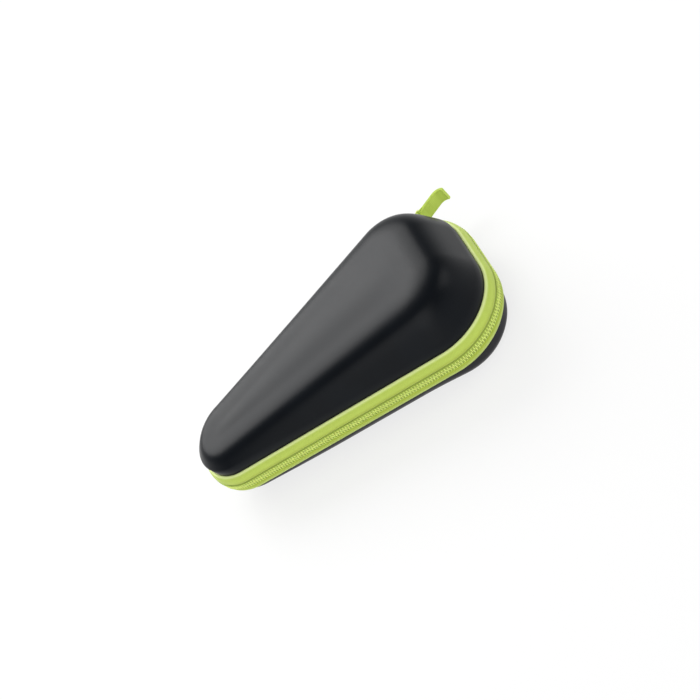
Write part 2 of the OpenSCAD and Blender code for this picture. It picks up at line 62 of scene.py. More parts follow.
# The case's outline in plan, in millimetres: two arcs at the wide end, one at the tip
HALF_LENGTH = 95.0
TIP_RADIUS = 27.5
CORNER_RADIUS = 36.0
CORNER_Y = 13.0
TIP_X = TIP_RADIUS - HALF_LENGTH
CORNER_X = HALF_LENGTH - CORNER_RADIUS
ARC_GAP = math.hypot(CORNER_X - TIP_X, CORNER_Y)
SIDE_TURN = math.atan2(CORNER_Y, CORNER_X - TIP_X) + math.acos((TIP_RADIUS - CORNER_RADIUS) / ARC_GAP)
SIDE_SLOPE = SIDE_TURN - math.pi / 2
CORNER_RUN = CORNER_RADIUS * SIDE_TURN
SIDE_RUN = math.sqrt(ARC_GAP**2 - (CORNER_RADIUS - TIP_RADIUS) ** 2)
TIP_RUN = TIP_RADIUS * (2 * math.pi - 2 * SIDE_TURN)
END_RUN = 2 * CORNER_Y
STARTS = np.cumsum([0, CORNER_RUN, SIDE_RUN, TIP_RUN, SIDE_RUN, CORNER_RUN, END_RUN])
ROUND = STARTS[-1]
TIP_MIDDLE = STARTS[2] + TIP_RUN / 2

# Heights, and the layers of the shells as distances in from the outline. Pairs are the values at the
# tip and at the wide end.
ZIP_Z = 21.25
EDGE = 8.25
SKIN_AT, FOAM_AT, LINING_AT, INSIDE_AT = 3.8, 4.6, 7.8, 8.4
LAYER_GAP, TURN = 0.05, 0.9
LID_HEIGHT, LID_WALL, SHOULDER = (9.5, 28.5), (6.0, 4.0), (17.0, 28.0)
SIDE_LEAN, SIDE_CLIMB, TOP_REACH = 0.3, 0.85, 0.7
BASE_TOP, BASE_LEAN = (12.0, 8.0), (18.0, 12.0)
SOLE_LIFT, SOLE_LIFT_RUN = 7.0, 80.0
TAPE_RECESS = 0.4
TAPE_ARC = 6.2043
FLAT_HALF = 3.2

# Places round the outline, as runs counterclockwise from the far end of the wide end
SLIDER_PARK = math.radians(76)
COIL_END = CORNER_RADIUS * SLIDER_PARK + 1
NOTCH = CORNER_RADIUS * SLIDER_PARK - 7.2
HINGE_START = CORNER_RADIUS * SLIDER_PARK + 7.2
HINGE_END = STARTS[2] + 4.8
STOP_END = HINGE_END + 3
COIL_PITCH = 1.6


def outline(runs):
    """Points of the outline and their outward directions, by the run round it."""
    runs = np.mod(np.asarray(runs, float), ROUND)
    far = (CORNER_X + CORNER_RADIUS * math.cos(SIDE_TURN), CORNER_Y + CORNER_RADIUS * math.sin(SIDE_TURN))
    tip = (TIP_X + TIP_RADIUS * math.cos(SIDE_TURN), TIP_RADIUS * math.sin(SIDE_TURN))
    parts = [
        (CORNER_X, CORNER_Y, CORNER_RADIUS, 0.0),
        (far, tip, SIDE_TURN),
        (TIP_X, 0.0, TIP_RADIUS, SIDE_TURN),
        ((tip[0], -tip[1]), (far[0], -far[1]), -SIDE_TURN),
        (CORNER_X, -CORNER_Y, CORNER_RADIUS, -SIDE_TURN),
        ((HALF_LENGTH, -CORNER_Y), (HALF_LENGTH, CORNER_Y), 0.0),
    ]
    x, y, turn = np.zeros_like(runs), np.zeros_like(runs), np.zeros_like(runs)
    for i, part in enumerate(parts):
        here = (runs >= STARTS[i]) & (runs <= STARTS[i + 1])
        s = runs[here] - STARTS[i]
        if len(part) == 4:
            turn[here] = part[3] + s / part[2]
            x[here] = part[0] + part[2] * np.cos(turn[here])
            y[here] = part[1] + part[2] * np.sin(turn[here])
        else:
            t = s / (STARTS[i + 1] - STARTS[i])
            turn[here] = part[2]
            x[here] = part[0][0] + (part[1][0] - part[0][0]) * t
            y[here] = part[0][1] + (part[1][1] - part[0][1]) * t
    return x, y, np.cos(turn), np.sin(turn)


def runs_between(first, last, step=1.5):
    return np.linspace(first, last, max(2, math.ceil((last - first) / step) + 1))


def band_point(run, out, up):
    """One point beside the outline, in millimetres."""
    x, y, nx, ny = (float(v[0]) for v in outline([run]))
    return Vector((x + nx * out, y + ny * out, ZIP_Z + up))


def side_y(x):
    """Half width of the outline's straight sides at x."""
    far_x = CORNER_X + CORNER_RADIUS * math.cos(SIDE_TURN)
    far_y = CORNER_Y + CORNER_RADIUS * math.sin(SIDE_TURN)
    return far_y + (x - far_x) * math.tan(SIDE_SLOPE)


# --- meshes ---------------------------------------------------------------------------------


def new_piece(name, points, faces, corners=None, material=None, sharp=40.0):
    """A mesh object from points in millimetres, with outward faces, UVs in metres and soft shading."""
    mesh = bpy.data.meshes.new(name)
    mesh.from_pydata((np.asarray(points, float).reshape(-1, 3) * MM).tolist(), [], faces)
    if corners is not None:
        layer = mesh.uv_layers.new(name="UVMap")
        layer.data.foreach_set("uv", (np.asarray(corners, np.float32) * MM).ravel())
    return finish_mesh(name, mesh, material, sharp)


def finish_mesh(name, mesh, material, sharp=40.0):
    """Turns a closed mesh the right way out, marks its sharp edges and puts it in the scene."""
    bm = bmesh.new()
    bm.from_mesh(mesh)
    if bm.calc_volume(signed=True) < 0:
        bmesh.ops.reverse_faces(bm, faces=bm.faces)
    limit = math.radians(sharp)
    for face in bm.faces:
        face.smooth = True
    for e in bm.edges:
        if len(e.link_faces) == 2 and e.calc_face_angle() > limit:
            e.smooth = False
    bm.to_mesh(mesh)
    bm.free()
    mesh.validate()
    mesh.name = name
    piece = bpy.data.objects.new(name, mesh)
    bpy.context.scene.collection.objects.link(piece)
    if material is not None:
        mesh.materials.clear()
        mesh.materials.append(material)
    return piece


def merged(shapes):
    """Several (points, faces, corners) as one."""
    points, faces, corners, count = [], [], [], 0
    for p, f, c in shapes:
        p = np.asarray(p, float).reshape(-1, 3)
        points.append(p)
        faces += [tuple(i + count for i in face) for face in f]
        corners.append(np.asarray(c, float).reshape(-1, 2))
        count += len(p)
    return np.vstack(points), faces, np.vstack(corners)


def grid_faces(u, v, closed_u=False, closed_v=True, first=0):
    """Quads and UV corners of a grid of points, rows by u and columns by v."""
    n = len(u) - 1 if closed_u else len(u)
    m = len(v) - 1 if closed_v else len(v)
    rows = np.arange(n if closed_u else n - 1)
    cols = np.arange(m if closed_v else m - 1)
    i, j = (a.ravel() for a in np.meshgrid(rows, cols, indexing="ij"))
    k, l = (i + 1) % n, (j + 1) % m
    faces = (first + np.stack([i * m + j, k * m + j, k * m + l, i * m + l], 1)).tolist()
    u, v = np.asarray(u), np.asarray(v)
    corners = np.stack(
        [np.stack([u[i], v[j]], 1), np.stack([u[i + 1], v[j]], 1),
         np.stack([u[i + 1], v[j + 1]], 1), np.stack([u[i], v[j + 1]], 1)], 1)
    return faces, corners.reshape(-1, 2)


def loop_lengths(section):
    """Lengths round a closed section, from 0 to the whole way round."""
    around = np.vstack([section, section[:1]])
    return np.concatenate([[0], np.cumsum(np.linalg.norm(np.diff(around, axis=0), axis=1))])


def sweep(runs, section, closed=False):
    """A closed section of [out, up] points carried along the outline."""
    runs, section = np.asarray(runs, float), np.asarray(section, float)
    x, y, nx, ny = outline(runs)
    out, up = section.T
    points = np.stack([x[:, None] + nx[:, None] * out, y[:, None] + ny[:, None] * out,
                       np.tile(ZIP_Z + up, (len(runs), 1))], 2)
    if closed:
        runs = np.append(runs, runs[0] + ROUND)
        faces, corners = grid_faces(runs, loop_lengths(section), closed_u=True)
    else:
        faces, corners = capped(runs, section)
    return points.reshape(-1, 3), faces, corners


def capped(rows, section):
    """Faces and UV corners of a closed section carried along rows, with both its ends closed."""
    faces, corners = grid_faces(rows, loop_lengths(section))
    m, last = len(section), (len(rows) - 1) * len(section)
    faces += [list(range(m)), list(range(last + m - 1, last - 1, -1))]
    return faces, np.vstack([corners, section, section[::-1]])


def unit_steps(line):
    """Directions along a line of points."""
    step = np.gradient(line, axis=0)
    return step / np.linalg.norm(step, axis=1)[:, None]


def thicken(line, wall):
    """An open line of [out, up] points given a wall on its inner side, as a closed section."""
    line = np.asarray(line, float)
    step = unit_steps(line)
    side = np.stack([-step[:, 1], step[:, 0]], 1)
    centre = line[len(line) // 2]
    if np.dot(side[len(line) // 2], np.array([-20.0, 0.0]) - centre) < 0:
        side = -side
    return np.vstack([line, (line + side * wall)[::-1]])


def upside_down(section):
    return np.asarray(section, float) * [1, -1]


def rounded_box(low, high, radius, steps=3):
    """A closed rectangle with round corners, between two [out, up] corners."""
    (a, b), (c, d) = low, high
    centres = [(c - radius, d - radius, 0), (a + radius, d - radius, 90),
               (a + radius, b + radius, 180), (c - radius, b + radius, 270)]
    return np.array([
        [x + radius * math.cos(math.radians(t + 90 * i / steps)),
         y + radius * math.sin(math.radians(t + 90 * i / steps))]
        for x, y, t in centres for i in range(steps + 1)])


def smoothed(line, rounds=2, closed=False):
    """Corners of a line cut round."""
    line = np.asarray(line, float)
    for _ in range(rounds):
        a, b = line, np.roll(line, -1, axis=0)
        if not closed:
            a, b = a[:-1], b[:-1]
        cut = np.stack([a * 0.75 + b * 0.25, a * 0.25 + b * 0.75], 1).reshape(-1, line.shape[1])
        line = cut if closed else np.vstack([line[:1], cut, line[-1:]])
    return line


# --- the shells -----------------------------------------------------------------------------
# A ring of points follows the far side, the tip and the near side, and then the straight end.
# Across its crown, each far point is joined to the near point that mirrors it.

RUNGS = 12
FAR_RUNS = np.concatenate([
    np.linspace(0, STARTS[1], 41)[:-1],
    np.linspace(STARTS[1], STARTS[2], 49)[:-1],
    np.linspace(STARTS[2], TIP_MIDDLE, 27),
])
HALF_RING = len(FAR_RUNS) - 1
RING_RUNS = np.concatenate([
    FAR_RUNS,
    2 * TIP_MIDDLE - FAR_RUNS[-2::-1],
    STARTS[5] + END_RUN * np.arange(1, RUNGS) / RUNGS,
])
RING = len(RING_RUNS)
RING_X, RING_Y, RING_NX, RING_NY = outline(RING_RUNS)
ALONG = (RING_X + HALF_LENGTH) / (2 * HALF_LENGTH)


def ring(inward, z):
    """A ring of points at a distance in from the outline and a height."""
    return np.stack([RING_X - RING_NX * inward, RING_Y - RING_NY * inward, z + 0 * RING_X], 1)


def blend(pair, share):
    """From a pair's first value to its second."""
    return pair[0] + (pair[1] - pair[0]) * share


def curve(t, low, high):
    """A soft curve from 0 to 1 whose ends are led by two handles."""
    return 3 * t * (1 - t) ** 2 * low + 3 * t * t * (1 - t) * high + t**3


def lid_ring(at, t):
    """The lid's side and shoulder at one layer, from the upright wall, 0, to the top plane, 1."""
    deep = at - SKIN_AT
    shoulder = blend(SHOULDER, ALONG)
    wall = blend(LID_WALL, ALONG)
    inward = at + (shoulder - deep) * curve(t, SIDE_LEAN, 1 - TOP_REACH)
    edge = SKIN_AT + shoulder
    x = RING_X - (edge + (inward - edge) * t * t) * RING_NX
    up = blend(LID_HEIGHT, (x + HALF_LENGTH) / (2 * HALF_LENGTH)) - wall
    return ring(inward, ZIP_Z + EDGE + wall + (up - deep) * curve(t, SIDE_CLIMB, 1))


def base_ring(at, t):
    """The base's leaning side at one layer, from its upright rim, 0, to the sole, 1."""
    a = t * math.pi / 2
    deep = at - SKIN_AT
    lift = SOLE_LIFT * (np.maximum(0, SOLE_LIFT_RUN - RING_X - HALF_LENGTH) / SOLE_LIFT_RUN) ** 2
    full = np.clip((RING_X - 30) / 50, 0, 1)
    full = full * full * (3 - 2 * full)
    lean = (blend(BASE_LEAN, full) - deep) * (1 - math.cos(a))
    top = blend(BASE_TOP, full)
    return ring(at + lean, top - (top - lift - deep) * math.sin(a))


def lining_lean(z):
    """How far the base's lining leans in at a height, under the strap."""
    deep = INSIDE_AT - SKIN_AT
    a = math.asin(min(1.0, max(0.0, (BASE_TOP[0] - z) / (BASE_TOP[0] - deep))))
    return (BASE_LEAN[0] - deep) * (1 - math.cos(a))


def crown(last, height):
    """Points and faces that close a ring, with a soft crown."""
    far = last[: HALF_RING + 1]
    near = last[HALF_RING : 2 * HALF_RING + 1][::-1]
    share = np.linspace(0, 1, RUNGS + 1)
    widest = np.linalg.norm(far - near, axis=1).max()
    points, rows = [], []
    end_row = [0] + [RING - 1 - k for k in range(RUNGS - 1)] + [2 * HALF_RING]
    rows.append(end_row)
    count = 0
    for j in range(1, HALF_RING):
        wide = np.linalg.norm(far[j] - near[j]) / widest
        along = min(1.0, math.dist(far[j], far[0]) / 25, math.dist(far[j], far[HALF_RING]) / 15)
        rise = height * wide * along**2 * (3 - 2 * along)
        row = [j]
        for t in share[1:-1]:
            p = far[j] * (1 - t) + near[j] * t
            points.append(p + [0, 0, rise * (4 * t * (1 - t)) ** 2])
            row.append(RING + count)
            count += 1
        rows.append(row + [2 * HALF_RING - j])
    faces = []
    for a, b in zip(rows, rows[1:]):
        faces += [(a[k], b[k], b[k + 1], a[k + 1]) for k in range(RUNGS)]
    tip = rows[-1]
    faces += [(tip[k], HALF_RING, tip[k + 1]) for k in range(RUNGS)]
    return np.array(points), faces


def wall_surface(rings, height):
    """One wall of a shell from its rim to its closed crown."""
    n = len(rings)
    faces = []
    for r in range(n - 1):
        for j in range(RING):
            k = (j + 1) % RING
            faces.append((r * RING + j, r * RING + k, (r + 1) * RING + k, (r + 1) * RING + j))
    inner, caps = crown(rings[-1], height)
    top = (n - 1) * RING
    faces += [tuple(top + i for i in face) for face in caps]
    return np.vstack(rings + [inner]), faces


def shell(name, outer, inner, height, material):
    """A bowl with two walls and a closed rim."""
    outer_points, outer_faces = wall_surface(outer, height)
    inner_points, inner_faces = wall_surface(inner, height)
    count = len(outer_points)
    faces = outer_faces + [tuple(count + i for i in reversed(face)) for face in inner_faces]
    for j in range(RING):
        k = (j + 1) % RING
        faces.append((k, j, count + j, count + k))
    points = np.vstack([outer_points, inner_points])
    return new_piece(name, points, faces, None, material, sharp=50)


def lid_rings(at, rim=0.0, steps=22):
    return [ring(at, ZIP_Z + EDGE + rim)] + [lid_ring(at, i / steps) for i in range(steps + 1)]


def base_rings(at, rim=0.0, steps=14):
    return [ring(at, ZIP_Z - EDGE - rim)] + [base_ring(at, i / steps) for i in range(steps + 1)]


def turned_edge(up, turn=TURN, under=0.7, steps=5):
    """Rings of the leathercloth's turned edge beside the zip band."""
    return [
        ring(SKIN_AT + under * (1 - math.sin(a)), ZIP_Z + up * (EDGE + turn * (1 - math.cos(a))))
        for a in np.linspace(0, math.pi / 2, steps + 1)
    ]


# --- materials ------------------------------------------------------------------------------


class Wire:
    """A value in a material's node tree. Arithmetic on it adds Math nodes."""

    def __init__(self, finish, socket):
        self.finish, self.socket = finish, socket

    def of(self, output):
        return Wire(self.finish, self.socket.node.outputs[output])

    def maths(self, operation, *values):
        return self.finish.add("ShaderNodeMath", {"operation": operation}, values)

    def __add__(self, other):
        return self.maths("ADD", self, other)

    def __sub__(self, other):
        return self.maths("SUBTRACT", self, other)

    def __rsub__(self, other):
        return self.maths("SUBTRACT", other, self)

    def __mul__(self, other):
        return self.maths("MULTIPLY", self, other)

    __radd__, __rmul__ = __add__, __mul__

    def sine(self):
        return self.maths("SINE", self)

    def between(self, low, high, to_low=0.0, to_high=1.0):
        settings = {"interpolation_type": "SMOOTHSTEP"}
        return self.finish.add("ShaderNodeMapRange", settings, (self, low, high, to_low, to_high))


class Finish:
    """A material under construction."""

    def __init__(self, name, **surface):
        self.material = bpy.data.materials.new(name)
        self.material.use_nodes = True
        self.tree = self.material.node_tree
        self.shader = self.tree.nodes["Principled BSDF"]
        for socket, value in surface.items():
            self.shader.inputs[socket.replace("_", " ")].default_value = value

    def add(self, kind, settings=(), values=()):
        """A node of a type, with its settings set first and then its sockets' values or links."""
        node = self.tree.nodes.new(kind)
        for key, value in dict(settings).items():
            setattr(node, key, value)
        for key, value in values.items() if isinstance(values, dict) else enumerate(values):
            if isinstance(value, Wire):
                self.tree.links.new(value.socket, node.inputs[key])
            else:
                node.inputs[key].default_value = value
        return Wire(self, node.outputs[0])

    def place(self):
        return self.add("ShaderNodeTexCoord").of("Object")

    def cloth(self):
        """The piece's own UV as two values, in metres along and across."""
        split = self.add("ShaderNodeSeparateXYZ", (), (self.add("ShaderNodeUVMap", {"uv_map": "UVMap"}),))
        return split.of("X"), split.of("Y")

    def noise(self, scale, detail=3.0, where=None, rough=0.5):
        values = {"Vector": where or self.place(), "Scale": scale, "Detail": detail, "Roughness": rough}
        return self.add("ShaderNodeTexNoise", (), values)

    def cells(self, scale, feature="F1", where=None):
        values = {"Vector": where or self.place(), "Scale": scale}
        return self.add("ShaderNodeTexVoronoi", {"feature": feature}, values)

    def mixed(self, share, first, second):
        node = self.add("ShaderNodeMix", {"data_type": "RGBA"}, {0: share, 6: first, 7: second})
        return node.of(2)

    def feed(self, **sockets):
        for socket, value in sockets.items():
            self.tree.links.new(value.socket, self.shader.inputs[socket.replace("_", " ")])

    def relief(self, height, depth, strength=1.0):
        """A bump whose height, from 0 to 1, stands for a depth in metres."""
        values = {"Strength": strength, "Distance": depth, "Height": height}
        self.feed(Normal=self.add("ShaderNodeBump", (), values))


def shade(colour, share):
    return tuple(c * share for c in colour[:3]) + (1.0,)


def leathercloth(name, colour, scuffed=False):
    """Smooth coated cloth with a faint pebble grain."""
    f = Finish(name, Specular_IOR_Level=0.135)
    clouds = f.noise(38, 2)
    pores = f.cells(1500, "DISTANCE_TO_EDGE").between(0.02, 0.32)
    fine = f.noise(5200, 2)
    base = f.mixed(clouds.between(0.3, 0.7), shade(colour, 0.86), shade(colour, 1.14))
    rough = clouds * 0.06 + pores * -0.03 + 0.32
    if scuffed:
        split = f.add("ShaderNodeSeparateXYZ", (), (f.place(),))
        low = split.of("Z").between(0.0022, 0.0002)
        rub = f.noise(240, 6, rough=0.7).between(0.5, 0.72) * low
        base = f.mixed(rub * 0.5, base, shade((0.09, 0.09, 0.095), 1))
        rough = rough + rub * 0.25
    f.feed(Base_Color=base, Roughness=rough)
    f.relief(pores * 0.75 + fine * 0.25, 0.00003, 0.35)
    return f.material


def woven_tape(name, colour, pitch, slant, depth, painted_edge_highlight=None):
    """Cloth woven from threads of one colour, with its ribs at a slant. With an edge highlight colour, the
    tape's rolled outer edge gets a painted highlight, and the side beside the coil gets painted shade."""
    f = Finish(name, Specular_IOR_Level=0.2, Sheen_Weight=0.25, Sheen_Roughness=0.5)
    u, v = f.cloth()
    k = 2 * math.pi / pitch
    ribs = ((u + v * slant) * k).sine() * 0.5 + 0.5
    threads = (v * (2.2 * k)).sine() * 0.5 + 0.5
    fuzz = f.noise(2400, 3, rough=0.65)
    clouds = f.noise(60, 2)
    height = ribs * 0.6 + threads * 0.25 + fuzz * 0.15
    tone = (height * 0.7 + fuzz * 0.3).between(0.25, 0.95)
    base = f.mixed(tone, shade(colour, 0.72), shade(colour, 1.12))
    base = f.mixed(clouds.between(0.35, 0.7) * 0.25, base, shade(colour, 0.9))
    if painted_edge_highlight:
        # Painted shade: darker towards the coil, where the groove beside it lies in shade.
        base = f.mixed(v.between(0.0034, 0.0004) * 0.85, base, shade(colours().groove, 1))
        # Painted highlight: paler along the rolled outer edge, which faces up into the light.
        base = f.mixed(v.between(0.0052, 0.0066) * (1.0 - fuzz * 0.4), base, shade(painted_edge_highlight, 1))
    f.feed(Base_Color=base, Roughness=0.72 + fuzz * 0.2)
    f.relief(height, depth, 0.8)
    return f.material


def nylon_coil(name, colour):
    """Drawn nylon wire with faint die lines and a low sheen."""
    f = Finish(name, Specular_IOR_Level=0.4, Subsurface_Weight=0.05, Subsurface_Scale=0.0004)
    clouds = f.noise(900, 2)
    lines = f.noise(9000, 2)
    base = f.mixed(clouds.between(0.3, 0.75), shade(colour, 0.86), shade(colour, 1.1))
    f.feed(Base_Color=base, Roughness=clouds * 0.15 + 0.34)
    f.relief(lines, 0.00001, 0.4)
    return f.material


def brushed_knit(name, colour):
    """Brushed knit lining: a short matted nap over fine stitches."""
    f = Finish(name, Specular_IOR_Level=0.15, Sheen_Weight=0.35, Sheen_Roughness=0.6)
    nap = f.noise(1500, 6, rough=0.75)
    loops = f.cells(1900, "F1")
    clouds = f.noise(45, 3)
    tone = (nap * 0.7 + clouds * 0.5).between(0.35, 0.85)
    base = f.mixed(tone, shade(colour, 0.65), shade(colour, 1.35))
    f.feed(Base_Color=base, Roughness=0.85 + nap * 0.12)
    f.relief(nap * 0.7 + loops * 0.3, 0.00012, 0.8)
    return f.material


def foam_board(name, colour):
    """Cut edge and skin of closed-cell foam."""
    f = Finish(name, Specular_IOR_Level=0.25)
    pores = f.cells(2600, "DISTANCE_TO_EDGE").between(0.0, 0.25)
    clouds = f.noise(70, 2)
    base = f.mixed(pores * 0.7 + clouds * 0.3, shade(colour, 0.6), shade(colour, 1.3))
    f.feed(Base_Color=base, Roughness=0.8 + clouds * 0.15)
    f.relief(pores, 0.00008, 0.7)
    return f.material


def twisted_thread(name, colour):
    """Sewing thread with its ply showing."""
    f = Finish(name, Specular_IOR_Level=0.35, Sheen_Weight=0.2)
    ply = f.noise(7000, 2)
    base = f.mixed(ply.between(0.3, 0.7), shade(colour, 0.75), shade(colour, 1.2))
    f.feed(Base_Color=base, Roughness=0.5 + ply * 0.2)
    f.relief(ply, 0.00003, 0.6)
    return f.material


def lacquer(name, colour, bare):
    """Lacquered die casting, with the metal showing in small chips."""
    f = Finish(name, Coat_Weight=0.35, Coat_Roughness=0.12)
    clouds = f.noise(420, 3)
    chips = (f.noise(1300, 5, rough=0.7) * 0.75 + clouds * 0.25).between(0.645, 0.665)
    peel = f.noise(2600, 2)
    base = f.mixed(clouds, shade(colour, 0.92), shade(colour, 1.06))
    base = f.mixed(chips, base, shade(bare, 1))
    f.feed(Base_Color=base, Metallic=chips * 0.9, Roughness=0.3 + clouds * 0.12)
    f.relief(peel * 0.4 - chips, 0.00002, 0.5)
    return f.material


# --- repeated shapes, by Geometry Nodes -----------------------------------------------------


class NodeRecipe:
    """A Geometry Nodes tree under construction, with named inputs."""

    def __init__(self, name, inputs):
        self.tree = bpy.data.node_groups.new(name, "GeometryNodeTree")
        face = self.tree.interface
        face.new_socket("Geometry", in_out="INPUT", socket_type="NodeSocketGeometry")
        for label, kind, value in inputs:
            socket = face.new_socket(label, in_out="INPUT", socket_type=kind)
            if value is not None:
                socket.default_value = value
        face.new_socket("Geometry", in_out="OUTPUT", socket_type="NodeSocketGeometry")
        self.start = self.tree.nodes.new("NodeGroupInput")
        self.end = self.tree.nodes.new("NodeGroupOutput")

    def given(self, label):
        return self.start.outputs[label]

    def add(self, kind, settings=(), values=(), output=0):
        node = self.tree.nodes.new(kind)
        for key, value in dict(settings).items():
            setattr(node, key, value)
        for key, value in dict(values).items():
            if isinstance(value, bpy.types.NodeSocket):
                self.tree.links.new(value, node.inputs[key])
            else:
                node.inputs[key].default_value = value
        return node.outputs[output]

    def done(self, geometry):
        plain = self.add("GeometryNodeRealizeInstances", (), {0: geometry})
        dressed = self.add("GeometryNodeSetMaterial", (), {0: plain, "Material": self.given("Finish")})
        soft = self.add("GeometryNodeSetShadeSmooth", (), {0: dressed})
        self.tree.links.new(soft, self.end.inputs[0])
        return self.tree


def coil_recipe():
    """Coil elements along a path: round-cornered loops of wire that stand across it."""
    r = NodeRecipe("zip coil", [
        ("Elements", "NodeSocketInt", 10), ("Reach", "NodeSocketFloat", 0.003),
        ("Depth", "NodeSocketFloat", 0.001), ("Wire", "NodeSocketFloat", 0.0007),
        ("Finish", "NodeSocketMaterial", None)])
    settings = {"mode": "COUNT"}
    path = r.add("GeometryNodeResampleCurve", settings,
                 {0: r.given("Geometry"), "Count": r.given("Elements")})
    loop = r.add("GeometryNodeCurvePrimitiveQuadrilateral", {"mode": "RECTANGLE"},
                 {0: r.given("Depth"), 1: r.given("Reach")})
    loop = r.add("GeometryNodeFilletCurve", {"mode": "POLY"}, {0: loop, "Radius": 0.0004, "Count": 2})
    ring_ = r.add("GeometryNodeCurvePrimitiveCircle", {"mode": "RADIUS"},
                  {"Resolution": 6, "Radius": 0.0005})
    half = r.add("ShaderNodeMath", {"operation": "MULTIPLY"}, {0: r.given("Wire"), 1: 1000.0})
    size = r.add("ShaderNodeCombineXYZ", (), {0: half, 1: half, 2: 1.0})
    ring_ = r.add("GeometryNodeTransform", (), {0: ring_, "Scale": size})
    wire = r.add("GeometryNodeCurveToMesh", (), {0: loop, 1: ring_})
    upright = r.add("GeometryNodeTransform", (), {0: wire, "Rotation": (math.pi / 2, 0.0, math.pi / 2)})
    tangent = r.add("GeometryNodeInputTangent")
    turn = r.add("FunctionNodeAlignRotationToVector", {"axis": "X", "pivot_axis": "Z"},
                 {"Vector": tangent})
    spots = r.add("GeometryNodeInstanceOnPoints", (), {0: path, "Instance": upright, "Rotation": turn})
    return r.done(spots)


def stitch_recipe():
    """A row of stitches along a path: short round lengths of thread."""
    r = NodeRecipe("stitches", [
        ("Stitches", "NodeSocketInt", 10), ("Length", "NodeSocketFloat", 0.0024),
        ("Thread", "NodeSocketFloat", 0.0004), ("Finish", "NodeSocketMaterial", None)])
    path = r.add("GeometryNodeResampleCurve", {"mode": "COUNT"},
                 {0: r.given("Geometry"), "Count": r.given("Stitches")})
    ball = r.add("GeometryNodeMeshUVSphere", (), {"Segments": 6, "Rings": 5, "Radius": 0.5})
    thread = r.given("Thread")
    size = r.add("ShaderNodeCombineXYZ", (), {0: r.given("Length"), 1: thread, 2: thread})
    upright = r.add("GeometryNodeTransform", (), {0: ball, "Rotation": (0.0, math.pi / 2, 0.0)})
    tangent = r.add("GeometryNodeInputTangent")
    turn = r.add("FunctionNodeAlignRotationToVector", {"axis": "X"}, {"Vector": tangent})
    spots = r.add("GeometryNodeInstanceOnPoints", (), {
        0: path, "Instance": upright, "Rotation": turn, "Scale": size})
    return r.done(spots)


def net_recipe():
    """Threads along the edges of a lattice, with a knot at each crossing."""
    r = NodeRecipe("net", [
        ("Radius", "NodeSocketFloat", 0.0002), ("Knot", "NodeSocketFloat", 0.0003),
        ("Finish", "NodeSocketMaterial", None)])
    lines = r.add("GeometryNodeMeshToCurve", (), {0: r.given("Geometry")})
    ring_ = r.add("GeometryNodeCurvePrimitiveCircle", {"mode": "RADIUS"},
                  {"Resolution": 5, "Radius": r.given("Radius")})
    threads = r.add("GeometryNodeCurveToMesh", (), {0: lines, 1: ring_})
    ball = r.add("GeometryNodeMeshIcoSphere", (), {"Radius": r.given("Knot"), "Subdivisions": 1})
    knots = r.add("GeometryNodeInstanceOnPoints", (), {0: r.given("Geometry"), "Instance": ball})
    both = r.tree.nodes.new("GeometryNodeJoinGeometry")
    r.tree.links.new(threads, both.inputs[0])
    r.tree.links.new(knots, both.inputs[0])
    return r.done(both.outputs[0])


def path_object(points, cyclic=False):
    """A plain curve through points in millimetres, as the guide of a recipe."""
    curve = bpy.data.curves.new("guide", "CURVE")
    curve.dimensions = "3D"
    spline = curve.splines.new("POLY")
    spline.points.add(len(points) - 1)
    for spot, p in zip(spline.points, points):
        spot.co = (p[0] * MM, p[1] * MM, p[2] * MM, 1)
    spline.use_cyclic_u = cyclic
    guide = bpy.data.objects.new("guide", curve)
    bpy.context.scene.collection.objects.link(guide)
    return guide


def grown(guide, tree, values):
    """Runs a recipe on its guide and returns the result as a plain mesh. The guide is removed."""
    modifier = guide.modifiers.new("recipe", "NODES")
    modifier.node_group = tree
    for item in tree.interface.items_tree:
        if item.in_out == "INPUT" and item.name in values:
            modifier[item.identifier] = values[item.name]
    graph = bpy.context.evaluated_depsgraph_get()
    graph.update()
    mesh = bpy.data.meshes.new_from_object(guide.evaluated_get(graph), depsgraph=graph)
    guide.modifiers.remove(modifier)
    data = guide.data
    bpy.data.objects.remove(guide)
    if isinstance(data, bpy.types.Curve):
        bpy.data.curves.remove(data)
    else:
        bpy.data.meshes.remove(data)
    if not len(mesh.polygons):
        raise RuntimeError(f"the recipe {tree.name} made nothing")
    return mesh


def joined(name, pieces):
    """Several objects or meshes as one piece."""
    bm = bmesh.new()
    materials = []
    for item in pieces:
        mesh = item.data if isinstance(item, bpy.types.Object) else item
        first = len(bm.faces)
        bm.from_mesh(mesh)
        slots = []
        for m in mesh.materials:
            if m not in materials:
                materials.append(m)
            slots.append(materials.index(m))
        bm.faces.ensure_lookup_table()
        for face in bm.faces[first:]:
            face.material_index = slots[face.material_index] if slots else 0
    made = bpy.data.meshes.new(name)
    for m in materials:
        made.materials.append(m)
    bm.to_mesh(made)
    bm.free()
    for item in pieces:
        if isinstance(item, bpy.types.Object):
            old = item.data
            bpy.data.objects.remove(item)
            bpy.data.meshes.remove(old)
        else:
            bpy.data.meshes.remove(item)
    piece = bpy.data.objects.new(name, made)
    bpy.context.scene.collection.objects.link(piece)
    return piece


def stitched(points, pitch, length, thread, material, cyclic=False):
    """A mesh of stitches along points in millimetres."""
    points = [Vector(p) for p in points]
    total = sum((b - a).length for a, b in zip(points, points[1:]))
    count = max(2, round(total / pitch) + (0 if cyclic else 1))
    return grown(path_object(points, cyclic), recipe("stitches"), {
        "Stitches": count, "Length": length * MM, "Thread": thread * MM, "Finish": material})


def recipe(name):
    made = {"zip coil": coil_recipe, "stitches": stitch_recipe, "net": net_recipe}
    return bpy.data.node_groups.get(name) or made[name]()


def narrow_cloth(width, length):
    """Works out a tape's flat size from its width and length in millimetres, at least 10 mm wide, and drops
    it.
    """
    flat = (max(width, 10.0) * MM, length * MM)
    width * length * MM * MM


